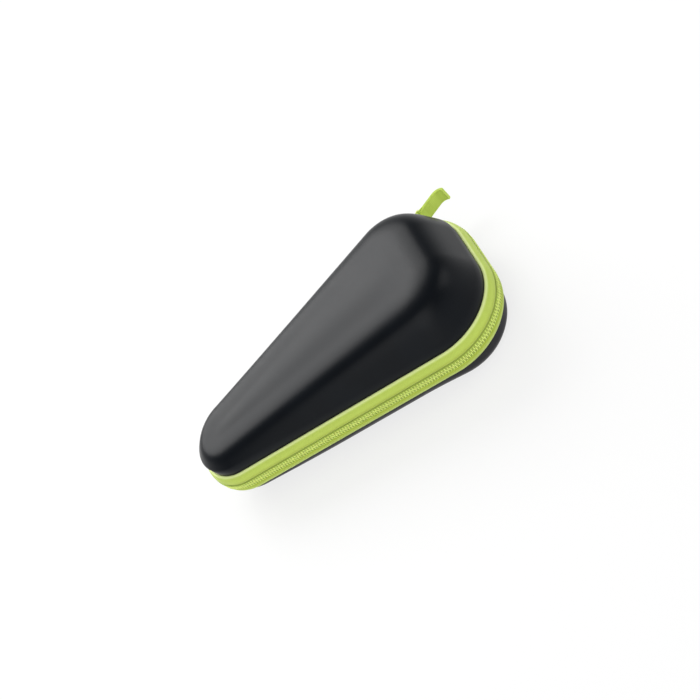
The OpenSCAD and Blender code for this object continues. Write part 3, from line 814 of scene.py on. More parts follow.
def dressed(piece, body, slot, *nodes):
    """Hangs a piece on the empty of the body it rides on and hides the solids it replaces. The slot is not
    used.
    """
    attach(piece, body)
    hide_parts(*nodes)


def finish_named(name, maker, *values):
    return bpy.data.materials.get(name) or maker(name, *values)


# --- sizes and colours ----------------------------------------------------------------------


def length_property(name, description, default, low, high):
    return FloatProperty(name=name, description=description, default=default, min=low, max=high,
                         unit="LENGTH", subtype="DISTANCE", precision=5)


def colour_property(name, description, default):
    return FloatVectorProperty(name=name, description=description, default=default, min=0.0, max=1.0,
                               size=3, subtype="COLOR")


class CaseSizes(bpy.types.PropertyGroup):
    """Sizes of the case's fine detail."""

    tape_wall: length_property(
        "Tape thickness", "Thickness of the woven zip tape", 0.0006, 0.0004, 0.0007)
    coil_wire: length_property(
        "Coil wire", "Diameter of the coil's wire", 0.0007, 0.0005, 0.00072)
    seam_pitch: length_property(
        "Seam pitch", "Distance from stitch to stitch on the bindings", 0.0034, 0.002, 0.005)
    seam_thread: length_property(
        "Seam thread", "Thickness of the sewing thread", 0.00045, 0.0003, 0.0006)
    net_pitch: length_property(
        "Net pitch", "Width of one mesh of the net pocket", 0.0034, 0.002, 0.005)
    lid_crown: length_property(
        "Lid crown", "Rise of the lid's top over its flat plane", 0.0007, 0.0, 0.002)
    ribbon_wall: length_property(
        "Ribbon thickness", "Thickness of one layer of the ribbon", 0.0007, 0.0004, 0.00075)


class CaseColours(bpy.types.PropertyGroup):
    """Colours of the case, as linear values."""

    leather: colour_property("Leathercloth", "Colour of the covers", (0.0026, 0.004, 0.0062))
    base_leather: colour_property("Base leathercloth", "Colour of the base's cover", (0.02, 0.02, 0.024))
    lime: colour_property("Tape", "Colour of the zip tape", (0.6, 0.76, 0.13))
    # Painted highlight colour for the tape's rolled edge, which faces up into the light.
    painted_edge_highlight: colour_property("Painted_edge_highlight", "Paler edge of the zip tape", (0.86, 0.98, 0.42))
    # Painted shade colour for the tape in the groove beside the coil.
    groove: colour_property("Groove", "Tape where it is pressed in beside the coil", (0.4, 0.5, 0.055))
    coil: colour_property("Coil", "Colour of the coil", (0.76, 0.9, 0.22))
    ribbon: colour_property("Ribbon", "Colour of the ribbon pull", (0.66, 0.84, 0.14))
    lining: colour_property("Lining", "Colour of the brushed lining", (0.05, 0.052, 0.056))
    black: colour_property("Trim", "Colour of the bindings, strap, net and thread", (0.018, 0.018, 0.02))
    foam: colour_property("Foam", "Colour of the moulded foam", (0.03, 0.03, 0.032))


def sizes():
    return bpy.context.scene.zip_case_sizes


def colours():
    return bpy.context.scene.zip_case_colours


def lime_tape():
    return finish_named("lime_tape", woven_tape, colours().lime, 0.00062, 0.55, 0.00006)


# Zip tape finish with a painted highlight on its rolled edge and painted shade beside the coil.
def lime_tape_with_painted_light():
    return finish_named(
        "edged_lime_tape", woven_tape, colours().lime, 0.00062, 0.55, 0.00006, colours().painted_edge_highlight)


def shaded_lime_cord_finish():
    # Painted shade: the cord buried in the coil gets a darker copy of the tape's lime.
    colour = shade(colours().lime, 0.72)
    return finish_named("deep_lime_cord", woven_tape, colour, 0.00062, 0.55, 0.00006)


def lime_coil():
    return finish_named("lime_coil", nylon_coil, colours().coil)


def lime_thread():
    return finish_named("lime_thread", twisted_thread, colours().lime)


def black_thread():
    return finish_named("black_thread", twisted_thread, shade(colours().black, 1.6))


def black_webbing():
    return finish_named("black_webbing", woven_tape, colours().black, 0.0011, 0.0, 0.00016)


def black_binding():
    return finish_named("black_binding", woven_tape, colours().black, 0.00055, 0.8, 0.00007)


# --- operators ------------------------------------------------------------------------------


class ZIPCASE_OT_covers(bpy.types.Operator):
    """Leathercloth covers of the lid and the base"""

    bl_idname = "zipcase.covers"
    bl_label = "Leathercloth covers"

    def execute(self, context):
        height = sizes().lid_crown / MM
        lid_cloth = finish_named("lid_leathercloth", leathercloth, colours().leather)
        base_cloth = finish_named("base_leathercloth", leathercloth, colours().base_leather, True)
        lid = shell("lid_cover", turned_edge(1)[:-1] + lid_rings(SKIN_AT, TURN),
                    lid_rings(FOAM_AT - LAYER_GAP), height, lid_cloth)
        base = shell("base_cover", turned_edge(-1)[:-1] + base_rings(SKIN_AT, TURN),
                     base_rings(FOAM_AT - LAYER_GAP), 0.0, base_cloth)
        for piece, body in ((lid, "lid"), (base, "base")):
            dressed(piece, body, "skin", body + "_skin")
        return {"FINISHED"}


class ZIPCASE_OT_foam(bpy.types.Operator):
    """Moulded foam of the lid and the base"""

    bl_idname = "zipcase.foam"
    bl_label = "Moulded foam"

    def execute(self, context):
        height = sizes().lid_crown / MM
        finish = finish_named("moulded_foam", foam_board, colours().foam)
        lid = shell("lid_foam_board", lid_rings(FOAM_AT), lid_rings(LINING_AT - LAYER_GAP), height, finish)
        base = shell("base_foam_board", base_rings(FOAM_AT), base_rings(LINING_AT - LAYER_GAP), 0.0, finish)
        for piece, body in ((lid, "lid"), (base, "base")):
            dressed(piece, body, "foam", body + "_foam")
        return {"FINISHED"}


class ZIPCASE_OT_linings(bpy.types.Operator):
    """Brushed knit linings of the lid and the base"""

    bl_idname = "zipcase.linings"
    bl_label = "Brushed linings"

    def execute(self, context):
        height = sizes().lid_crown / MM
        finish = finish_named("brushed_lining", brushed_knit, colours().lining)
        lid = shell("lid_lining_cloth", lid_rings(LINING_AT), lid_rings(INSIDE_AT), height, finish)
        base = shell("base_lining_cloth", base_rings(LINING_AT), base_rings(INSIDE_AT), 0.0, finish)
        for piece, body in ((lid, "lid"), (base, "base")):
            dressed(piece, body, "lining", body + "_lining")
        return {"FINISHED"}


def tape_arc_point(deep, a):
    """A point of the tape's curved part, at a depth in from its outer face."""
    radius = TAPE_ARC - deep
    return [radius * math.cos(a) - TAPE_ARC - TAPE_RECESS, FLAT_HALF + radius * math.sin(a)]


EDGE_ANGLE = math.asin((EDGE - FLAT_HALF) / TAPE_ARC)


def rolled_edge(radius=0.7, steps=5):
    """The tape's outer edge, rolled in under the shell."""
    x, z = tape_arc_point(0, EDGE_ANGLE)
    cx, cz = x - radius * math.cos(EDGE_ANGLE), z - radius * math.sin(EDGE_ANGLE)
    last = math.radians(128)
    return [
        [cx + radius * math.cos(a), cz + radius * math.sin(a)]
        for a in (EDGE_ANGLE + (last - EDGE_ANGLE) * i / steps for i in range(1, steps + 1))
    ]


def tape_section(low_angle=None):
    """Section of one zip tape from the groove beside the coil to its rolled edge."""
    first = math.radians(4) if low_angle is None else low_angle
    curve = [tape_arc_point(0, first + (EDGE_ANGLE - first) * i / 14) for i in range(15)]
    groove = [[-0.86, 2.42], [-0.84, 2.6], [-0.78, 2.8], [-0.66, 3.02], [-0.53, 3.25], [-0.45, 3.45]]
    line = (groove if low_angle is None else []) + curve + rolled_edge()
    return thicken(line, sizes().tape_wall / MM)


class ZIPCASE_OT_tapes(bpy.types.Operator):
    """Woven zip tapes of the lid and the base"""

    bl_idname = "zipcase.tapes"
    bl_label = "Zip tapes"

    def execute(self, context):
        whole = runs_between(HINGE_END + 0.2, ROUND + HINGE_START - 0.2, 1.2)
        base = new_piece("base_tape", *sweep(whole, upside_down(tape_section())), lime_tape_with_painted_light())
        to_notch = runs_between(HINGE_END + 0.2, ROUND + NOTCH, 1.2)
        past_notch = runs_between(ROUND + NOTCH, ROUND + HINGE_START - 0.2, 1.2)
        narrow = tape_section(math.asin((4.75 - FLAT_HALF) / TAPE_ARC))
        both = merged([sweep(to_notch, tape_section()), sweep(past_notch, narrow)])
        lid = new_piece("lid_tape", *both, lime_tape_with_painted_light())
        for piece, body in ((lid, "lid"), (base, "base")):
            dressed(piece, body, "zip_tape", body + "_zip_tape")
            width = loop_lengths(tape_section())[-1] / 2
            narrow_cloth(width, whole[-1] - whole[0])
        return {"FINISHED"}


class ZIPCASE_OT_hinge(bpy.types.Operator):
    """Woven hinge between the two shells, in one piece across the fold"""

    bl_idname = "zipcase.hinge"
    bl_label = "Woven hinge"

    def execute(self, context):
        first = math.radians(4)
        curve = [tape_arc_point(0, first + (EDGE_ANGLE - first) * i / 12) for i in range(13)]
        middle = [[-0.04, 0.0], [-0.05, 0.5], [-0.08, 1.0], [-0.14, 1.6], [-0.23, 2.3], [-0.33, 3.0]]
        upper = middle + curve + rolled_edge()
        line = [[o, -z] for o, z in reversed(upper[1:])] + upper
        section = thicken(line, sizes().tape_wall / MM)
        runs = runs_between(HINGE_START, HINGE_END, 1.2)
        hinge = new_piece("hinge_cloth", *sweep(runs, section), lime_tape())
        middle_of_hinge = band_point((HINGE_START + HINGE_END) / 2, -0.3, 0) * MM
        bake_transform(hinge)
        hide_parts("hinge_tape_lower", "hinge_tape_upper")
        narrow_cloth(loop_lengths(section)[-1] / 2, runs[-1] - runs[0])
        return {"FINISHED"}


def coil_mesh(first, last, phase, up):
    """Coil elements of one tape between two runs from the parked end, as a mesh."""
    start = math.ceil((first + 0.35) / COIL_PITCH - phase)
    end = math.floor((last - 0.35) / COIL_PITCH - phase)
    runs = [ROUND + COIL_END - (i + phase) * COIL_PITCH for i in range(start, end + 1)]
    wire = sizes().coil_wire / MM
    depth, low, high = 1.43 - wire, -0.82, 2.36
    reach = high - low - wire
    fine = np.linspace(runs[0], runs[-1], (len(runs) - 1) * 4 + 1)
    guide = path_object([band_point(run, -1.45 / 2, up * (low + high) / 2) for run in fine])
    return grown(guide, recipe("zip coil"), {
        "Elements": len(runs), "Reach": reach * MM, "Depth": depth * MM, "Wire": wire * MM,
        "Finish": lime_coil()})


def coil_cord(first, last, up):
    """The cord that a coil is sewn round."""
    section = rounded_box((-1.1, 0.06), (-0.42, 2.3), 0.2)
    section = section if up > 0 else upside_down(section)
    return new_piece("cord", *sweep(runs_between(first, last), section), shaded_lime_cord_finish())


def coil_seam(first, last, up):
    """The seam that holds a coil to its tape, one stitch over each element."""
    runs = runs_between(first, last, 1.6)
    points = [band_point(run, -0.12, up * 1.95) for run in runs]
    return stitched(points, COIL_PITCH, 1.35, 0.34, lime_thread())


class ZIPCASE_OT_coils(bpy.types.Operator):
    """Nylon coils of the zip with their sewing cords, and the stops at their ends"""

    bl_idname = "zipcase.coils"
    bl_label = "Zip coils"

    def execute(self, context):
        zip_run = ROUND + COIL_END - STOP_END
        notch_run = COIL_END - NOTCH
        tip, end = STOP_END, ROUND + COIL_END
        base = joined("base_coil", [
            coil_mesh(0, zip_run, 0.25, -1), coil_cord(tip, end, -1), coil_seam(tip + 1, end - 1, -1)])
        lid = joined("lid_coil", [
            coil_mesh(notch_run + 0.2, zip_run, 0.75, 1), coil_cord(tip, ROUND + NOTCH - 0.2, 1),
            coil_seam(tip + 1, ROUND + NOTCH - 1, 1)])
        strip = thicken([[-0.5, 2.3], [-0.47, 3.0], [-0.5, 3.7], [-0.56, 4.4]], 0.5)
        past_notch = runs_between(ROUND + NOTCH + 0.2, ROUND + HINGE_START - 0.2)
        parked = joined("parked_coil_end", [
            coil_mesh(0, notch_run - 0.2, 0.75, 1), coil_cord(ROUND + NOTCH + 0.2, end, 1),
            new_piece("strip", *sweep(past_notch, strip), lime_tape())])
        for piece, body, node in (
            (base, "base", "base_zip_coil"), (lid, "lid", "lid_zip_coil"),
            (parked, "base", "upper_coil_end"),
        ):
            dressed(piece, body, "zip_coil", node)
        self.stops()
        return {"FINISHED"}

    def stops(self):
        """Moulded stops: two at the parked end and one that joins both coils at the tip."""
        for up, node in ((1, "zip_top_stop_upper"), (-1, "zip_top_stop_lower")):
            section = rounded_box((-1.42, 1.27), (-0.02, 2.12), 0.3)
            section = section if up > 0 else upside_down(section)
            stop = new_piece(node.replace("zip_", ""), *sweep(
                runs_between(COIL_END + 0.1, COIL_END + 1.3, 0.3), section), lime_coil(), sharp=60)
            dressed(stop, "base", "zip_coil", node)
        section = rounded_box((-1.62, -2.18), (0.28, 2.18), 0.45, 4)
        stop = new_piece("bottom_stop", *sweep(
            runs_between(HINGE_END + 0.25, STOP_END - 0.25, 0.3), section), lime_coil(), sharp=60)
        dressed(stop, "base", "zip_coil", "zip_bottom_stop")


BINDING_DEEP, BINDING_WALL = 0.8, 0.78


class ZIPCASE_OT_bindings(bpy.types.Operator):
    """Edge bindings that cover the seam inside each shell, with their stitches"""

    bl_idname = "zipcase.bindings"
    bl_label = "Edge bindings"

    def execute(self, context):
        low, high = (math.asin((z - FLAT_HALF) / (TAPE_ARC - BINDING_DEEP)) for z in (4.95, 7.3))
        arc = [tape_arc_point(BINDING_DEEP, low + (high - low) * i / 6) for i in range(7)]
        turn = [[-3.8, 7.75], [-4.2, 8.02], [-4.8, 8.14]]
        flange = [[-5.4, 8.18], [-6.4, 8.2], [-7.4, 8.2], [-8.1, 8.2], [-8.42, 8.12]]
        line = np.array(arc + turn + flange)
        step = unit_steps(line)
        inner = line + np.stack([-step[:, 1], step[:, 0]], 1) * BINDING_WALL
        section = np.vstack([line, inner[::-1]])
        runs = np.arange(0, ROUND, ROUND / 320)
        for body, up in (("lid", 1), ("base", -1)):
            shape = section if up > 0 else upside_down(section)
            tape = new_piece("tape", *sweep(runs, shape, closed=True), black_binding())
            seam = [band_point(run, -6.3, up * 7.38) for run in np.linspace(0, ROUND, 480)]
            pitch = sizes().seam_pitch / MM
            seam = stitched(seam, pitch, pitch * 0.78, sizes().seam_thread / MM, black_thread())
            piece = joined(body + "_binding", [tape, seam])
            dressed(piece, body, "binding", body + "_edge_binding")
            narrow_cloth(loop_lengths(section)[-1] / 2, ROUND)
        return {"FINISHED"}


STRAP_Z = 9.9
STRAP_RISE = 9.0


def lining_y(x):
    return side_y(x) - (INSIDE_AT + 0.05) / math.cos(SIDE_SLOPE)


def strap_span(x):
    return lining_y(x) - (1.05 + lining_lean(STRAP_Z)) / math.cos(SIDE_SLOPE)


class ZIPCASE_OT_strap(bpy.types.Operator):
    """Elastic strap over the base tray, with its two sewn ends"""

    bl_idname = "zipcase.strap"
    bl_label = "Elastic strap"

    def execute(self, context):
        half = strap_span(-20)
        radius = (half**2 + STRAP_RISE**2) / (2 * STRAP_RISE)
        across = np.linspace(-1, 1, 57)
        along = np.linspace(-32.5, -7.5, 21)
        outer, inner = [], []
        for t in across:
            for x in along:
                y = t * strap_span(x)
                edge = abs(x + 20) / 12.5
                ribs = 0.06 * math.cos((x + 20) * 2 * math.pi / 2.5) * (1 - edge**6)
                curl = -0.25 * max(0.0, edge - 0.8) / 0.2
                z = STRAP_Z + STRAP_RISE - radius + math.sqrt(radius**2 - y**2)
                outer.append([x, y, z + ribs + curl])
                inner.append([x, y, z - 1.1 + curl - ribs])
        n, m = len(across), len(along)
        u, v = across * half, along
        faces, corners = grid_faces(u, v, closed_v=False)
        back, back_corners = grid_faces(u, v, closed_v=False, first=n * m)
        faces += [face[::-1] for face in back]
        corners = [corners, back_corners.reshape(-1, 4, 2)[:, ::-1].reshape(-1, 2)]
        rim = [i for i in range(m)] + [i * m + m - 1 for i in range(1, n)]
        rim += [(n - 1) * m + j for j in range(m - 2, -1, -1)] + [i * m for i in range(n - 2, 0, -1)]
        for a, b in zip(rim, rim[1:] + rim[:1]):
            faces.append([b, a, n * m + a, n * m + b])
            corners.append(np.array([[u[i // m], v[i % m]] for i in (b, a, a, b)]))
        strap = new_piece("elastic_strap", outer + inner, faces, np.vstack(corners), black_webbing())
        dressed(strap, "base", "elastic", "strap")
        length = 2 * radius * math.asin(half / radius)
        narrow_cloth(25.0, length)
        for side, end in ((-1, "near"), (1, "far")):
            piece = self.sewn_end(side, "strap_end_" + end)
            dressed(piece, "base", "elastic", "strap_anchor_" + end)
        return {"FINISHED"}

    def sewn_end(self, side, name):
        """The strap's end turned under and sewn flat against the lining."""
        low, high, first, last = 8.05, 12.95, -34.0, -6.0
        rows = np.linspace(first, last, 29)
        section = rounded_box((0.02, low), (1.0, high), 0.32, 3)
        points = []
        for x in rows:
            end = min(x - first, last - x) / 0.8
            thin = 0.75 + 0.25 * min(1.0, end)
            for o, z in section:
                deep = o * thin
                y = lining_y(x) - (deep + lining_lean(z)) / math.cos(SIDE_SLOPE)
                points.append([x, side * y, z])
        pad = new_piece("pad", points, *capped(rows, section), black_webbing())
        box = [(-32.6, 9), (-7.4, 9), (-7.4, 12), (-32.6, 12), (-32.6, 9)]
        line = []
        for (x0, z0), (x1, z1) in zip(box, box[1:]):
            steps = 12
            line += [(x0 + (x1 - x0) * i / steps, z0 + (z1 - z0) * i / steps) for i in range(steps)]
        line.append(box[-1])
        slope = math.cos(SIDE_SLOPE)
        seam = [(x, side * (lining_y(x) - (1.02 + lining_lean(z)) / slope), z) for x, z in line]
        seam = stitched(seam, 1.9, 1.5, 0.35, black_thread())
        return joined(name, [pad, seam])


NET_Z = ZIP_Z + EDGE + 1.6
POCKET_EDGE = 8.0


class ZIPCASE_OT_pocket(bpy.types.Operator):
    """Net pocket in the lid, with its sewn border and elastic hem"""

    bl_idname = "zipcase.pocket"
    bl_label = "Net pocket"

    def execute(self, context):
        net = self.net()
        dressed(net, "lid", "net", "pocket_net")
        hem = self.hem()
        dressed(hem, "lid", "elastic", "pocket_hem")
        return {"FINISHED"}

    def room(self, x, reach):
        """Half width of the pocket at x, at a distance in from the outline."""
        straight = side_y(x) - reach / math.cos(SIDE_SLOPE)
        tip = TIP_RADIUS - reach
        join = TIP_X + tip * math.cos(SIDE_TURN)
        if x > join:
            return straight
        return math.sqrt(max(0.0, tip**2 - (x - TIP_X) ** 2))

    def net(self):
        pitch = sizes().net_pitch / MM
        spots, index = [], {}
        reach = INSIDE_AT + 1.4
        columns = int((POCKET_EDGE - 2 * TIP_X + HALF_LENGTH) / (pitch / 2))
        for i in range(columns):
            for j in range(-40, 41):
                x, y = POCKET_EDGE + 2 - i * pitch / 2, j * pitch / 2
                if (i + j) % 2 or x < TIP_X - TIP_RADIUS + reach or abs(y) > self.room(x, reach):
                    continue
                index[i, j] = len(spots)
                sag = 1 - (y / max(1.0, self.room(x, reach))) ** 2
                sag *= min(1.0, (x - TIP_X + TIP_RADIUS - reach) / 25)
                spots.append(Vector((x, y, NET_Z + 0.3 - 0.8 * max(0.0, sag))) * MM)
        edges = [(a, index[i + 1, j + d]) for (i, j), a in index.items() for d in (-1, 1)
                 if (i + 1, j + d) in index]
        mesh = bpy.data.meshes.new("lattice")
        mesh.from_pydata(spots, edges, [])
        guide = bpy.data.objects.new("lattice", mesh)
        bpy.context.scene.collection.objects.link(guide)
        finish = finish_named("net_thread", twisted_thread, shade(colours().black, 1.5))
        threads = grown(guide, recipe("net"), {"Radius": 0.0002, "Knot": 0.00032, "Finish": finish})
        border = self.border()
        return joined("net_pocket", [threads, border])

    def border(self):
        """The folded tape that the net is sewn into, round the pocket's closed side."""
        z = NET_Z - ZIP_Z
        start = STARTS[2] - (POCKET_EDGE - outline([STARTS[2]])[0][0]) / math.cos(SIDE_SLOPE)
        end = 2 * TIP_MIDDLE - start
        section = rounded_box((-INSIDE_AT - 3.0, z + 0.02), (-INSIDE_AT - 0.06, z + 0.75), 0.3, 3)
        tape = new_piece("border", *sweep(runs_between(start, end, 1.5), section), black_binding())
        seam = [band_point(run, -INSIDE_AT - 2.2, z) for run in runs_between(start + 2, end - 2, 1.2)]
        seam = stitched(seam, 2.8, 2.1, 0.36, black_thread())
        return joined("border", [tape, seam])

    def hem(self):
        """The pocket's elastic hem, slightly gathered."""
        low, high = (POCKET_EDGE + 0.05, NET_Z - 0.45), (POCKET_EDGE + 5.95, NET_Z + 1.05)
        section = rounded_box(low, high, 0.6, 4)
        ribs = np.linspace(-1, 1, 161)
        middle = section.mean(axis=0)
        points = []
        for t in ribs:
            for x, z in section:
                gather = 1 + 0.09 * math.sin(t * 60 * math.pi / 2) * (1 - t**8)
                y = t * (side_y(x) - (INSIDE_AT + 0.06) / math.cos(SIDE_SLOPE))
                points.append([x, y, middle[1] + (z - middle[1]) * gather])
        band = new_piece("hem", points, *capped(ribs * 38, section), black_webbing())
        rows = []
        for x in (POCKET_EDGE + 1.2, POCKET_EDGE + 4.8):
            half = side_y(x) - 10.5
            line = [(x, y, NET_Z - 0.5) for y in np.linspace(-half, half, 40)]
            rows.append(stitched(line, 2.6, 2.0, 0.36, black_thread()))
        return joined("pocket_hem_band", [band] + rows)


# --- the slider and its pull ----------------------------------------------------------------


def prism(shape, low, high, bevel, segments=2):
    """A flat shape of [a, b] points raised from low to high, with bevelled edges, as a bmesh."""
    bm = bmesh.new()
    foot = [bm.verts.new((a, b, low)) for a, b in shape]
    face = bm.faces.new(foot)
    raised = bmesh.ops.extrude_face_region(bm, geom=[face])
    for v in (g for g in raised["geom"] if isinstance(g, bmesh.types.BMVert)):
        v.co.z = high
    bmesh.ops.recalc_face_normals(bm, faces=bm.faces)
    rims = [e for e in bm.edges if e.calc_face_angle(0) > 0.5]
    if bevel:
        bmesh.ops.bevel(bm, geom=rims, offset=bevel, segments=segments, profile=0.6, affect="EDGES",
                        clamp_overlap=True)
    return bm


def from_bmesh(name, bm, place, material, sharp=40):
    """A bmesh in its own frame put in place, as a piece."""
    for v in bm.verts:
        v.co = Vector(place(*v.co)) * MM
    bmesh.ops.recalc_face_normals(bm, faces=bm.faces)
    mesh = bpy.data.meshes.new(name)
    bm.to_mesh(mesh)
    bm.free()
    return finish_mesh(name, mesh, material, sharp)


def on_band(s, z, out):
    """A point by its run towards the slider's nose, its height and its distance out."""
    turn = SLIDER_PARK + s / CORNER_RADIUS
    radius = CORNER_RADIUS + out
    return CORNER_X + radius * math.cos(turn), CORNER_Y + radius * math.sin(turn), ZIP_Z + z


def at_slider(out, s, z):
    """A point in the slider's own straight frame."""
    c, n = math.cos(SLIDER_PARK), math.sin(SLIDER_PARK)
    radius = CORNER_RADIUS + out
    return CORNER_X + radius * c - s * n, CORNER_Y + radius * n + s * c, ZIP_Z + z


BAR_OUT, BAR_RUN = 1.9, -3.3
BAR = at_slider(BAR_OUT, BAR_RUN, 0)
PULL_HEADING = math.radians(21.5)
LOOP_LENGTH = 8.5


def at_pull(run, side, z):
    """A point in the pull's frame, from the bar at the slider along its heading."""
    c, n = math.cos(PULL_HEADING), math.sin(PULL_HEADING)
    return BAR[0] + run * c - side * n, BAR[1] + run * n + side * c, ZIP_Z + z


def tube(line, radius, sides=12, closed=True):
    """Points and faces of a round wire along a closed line of points."""
    line = [Vector(p) for p in line]
    n = len(line)
    points = []
    normal = None
    for i, p in enumerate(line):
        ahead = (line[(i + 1) % n] - line[i - 1]).normalized()
        if normal is None:
            normal = ahead.orthogonal().normalized()
        normal = (normal - ahead * normal.dot(ahead)).normalized()
        other = ahead.cross(normal)
        for k in range(sides):
            a = 2 * math.pi * k / sides
            points.append(p + (normal * math.cos(a) + other * math.sin(a)) * radius)
    faces = []
    for i in range(n):
        for k in range(sides):
            a, b = i * sides + k, i * sides + (k + 1) % sides
            c, d = ((i + 1) % n) * sides + (k + 1) % sides, ((i + 1) % n) * sides + k
            faces.append((a, b, c, d))
    return np.array([list(p) for p in points]), faces


class ZIPCASE_OT_slider(bpy.types.Operator):
    """Slider with its plates, wedge and bridge"""

    bl_idname = "zipcase.slider"
    bl_label = "Slider"

    def execute(self, context):
        finish = finish_named("lime_lacquer", lacquer, colours().coil, (0.5, 0.5, 0.48))
        n, t = 4.1, 3.4
        corners = [(-6, 0), (-5.9, t - 1.2), (-4.6, t), (-1, t), (1.6, n), (4.6, n), (6, n - 1.8), (6, 0)]
        outline_ = corners + [(s, -z) for s, z in corners[-2:0:-1]]
        shape = smoothed(outline_, 2, closed=True)
        parts = [
            from_bmesh("front", prism(shape, 0.1, 1.28, 0.3, 3), on_band, finish, 55),
            from_bmesh("back", prism(shape, -2.75, -1.57, 0.3, 3), on_band, finish, 55),
        ]
        for side in (1, -1):
            lip = [(-4.9, 2.62), (5.0, 2.62), (4.9, 3.75), (1.6, 3.85), (-1, 3.2), (-4.9, 3.2)]
            lip = [(s, z * side) for s, z in lip]
            parts.append(from_bmesh("lip", prism(lip, -0.28, 0.4, 0.12), on_band, finish, 55))
            parts.append(from_bmesh("lip", prism(lip, -1.82, -1.5, 0.1), on_band, finish, 55))
        wedge = [(2.4, 0), (3.8, 0.9), (5.35, 1.08), (5.35, -1.08), (3.8, -0.9)]
        parts.append(from_bmesh("wedge", prism(wedge, -1.9, 0.5, 0.15), on_band, finish, 55))
        body = joined("slider_casting", parts)
        dressed(body, "slider", "slider", "slider_body")
        foot, eye, wall, tail = 1.22, 2.75, 1.0, -4.15
        side_shape = [
            (foot, tail - 1.15), (eye - 0.2, tail - 1.15), (eye + wall, tail), (eye + wall, 1.6),
            (eye - 0.6, 3), (foot, 3), (foot, 1.8), (eye - 0.5, 1.6), (eye, 1.2), (eye, tail), (foot, tail)]
        bm = prism(side_shape, -1.18, 1.18, 0.22, 3)
        bridge = from_bmesh("slider_bail", bm, at_slider, finish, 55)
        dressed(bridge, "slider", "slider", "slider_bridge")
        return {"FINISHED"}


class ZIPCASE_OT_pull(bpy.types.Operator):
    """Wire loop and folded ribbon of the pull"""

    bl_idname = "zipcase.pull"
    bl_label = "Ribbon pull"

    def execute(self, context):
        finish = finish_named("lime_lacquer", lacquer, colours().coil, (0.5, 0.5, 0.48))
        corners = [(0, 2.85), (0, 0), (0, -2.85),
                   (LOOP_LENGTH, -5.9), (LOOP_LENGTH, 0), (LOOP_LENGTH, 5.9)]
        line = np.array(corners + corners[:1], float)
        shares = np.linspace(0, 1, 9)[:-1, None]
        dense = np.vstack([a + (b - a) * shares for a, b in zip(line, line[1:])])
        dense = smoothed(dense, 1, closed=True)
        points, faces = tube([at_pull(run, 0, z) for run, z in dense], 0.6)
        loop = new_piece("wire_loop", points, faces, None, finish)
        dressed(loop, "loop", "slider", "pull_loop")
        ribbon = self.ribbon()
        dressed(ribbon, "ribbon", "ribbon", "pull_ribbon")
        narrow_cloth(9.0, self.ribbon_length)
        return {"FINISHED"}

    def ribbon(self):
        """A woven ribbon folded round the loop's bar, its two layers sewn together and curled."""
        wall = sizes().ribbon_wall / MM
        gap, straight, curl, half_width = 0.405, 12.0, 5.5, 4.5
        turn = math.radians(70)
        outer = [(straight + (curl + gap) * math.sin(a), (curl + gap) * math.cos(a) - curl)
                 for a in np.linspace(turn, 0, 15)]
        outer += [(x, gap) for x in np.linspace(straight, 3.4, 18)[1:]]
        fold = [(1.06 * math.cos(a), 1.06 * math.sin(a)) for a in np.radians(np.linspace(64, 296, 20))]
        inner = [(x, -gap) for x in np.linspace(3.4, straight, 18)[:-1]]
        inner += [(straight + (curl - gap) * math.sin(a), (curl - gap) * math.cos(a) - curl)
                  for a in np.linspace(0, turn, 15)]
        line = smoothed(np.array(outer + fold + inner), 1)
        step = unit_steps(line)
        side = np.stack([-step[:, 1], step[:, 0]], 1)
        run = np.concatenate([[0], np.cumsum(np.linalg.norm(np.diff(line, axis=0), axis=1))])
        across = np.linspace(-half_width, half_width, 13)
        profile = [(z, 0.5 * wall * (1 - 0.35 * (abs(z) / half_width) ** 10)) for z in across]
        section = profile + [(z, -t) for z, t in reversed(profile)]
        self.ribbon_length = run[-1]
        points = []
        for p, s in zip(line, side):
            for z, t in section:
                x, y = p + s * t
                points.append(at_pull(LOOP_LENGTH + x, y, z))
        finish = finish_named("lime_ribbon", woven_tape, colours().ribbon, 0.0009, 0.0, 0.0001)
        cloth = new_piece("cloth", points, *capped(run, np.array(section)), finish)
        seams = []
        for out in (0.78, -0.78):
            box = [(3.6, -3.4), (7.6, -3.4), (7.6, 3.4), (3.6, 3.4), (3.6, -3.4), (7.6, 3.4)]
            path = [at_pull(LOOP_LENGTH + x, out, z) for x, z in box]
            for a, b in zip(path, path[1:]):
                a, b = Vector(a), Vector(b)
                fine = [a.lerp(b, i / 6) for i in range(7)]
                seams.append(stitched(fine, 1.3, 1.05, 0.26, lime_thread()))
        return joined("ribbon_pull", [cloth] + seams)


# --- the stage ------------------------------------------------------------------------------


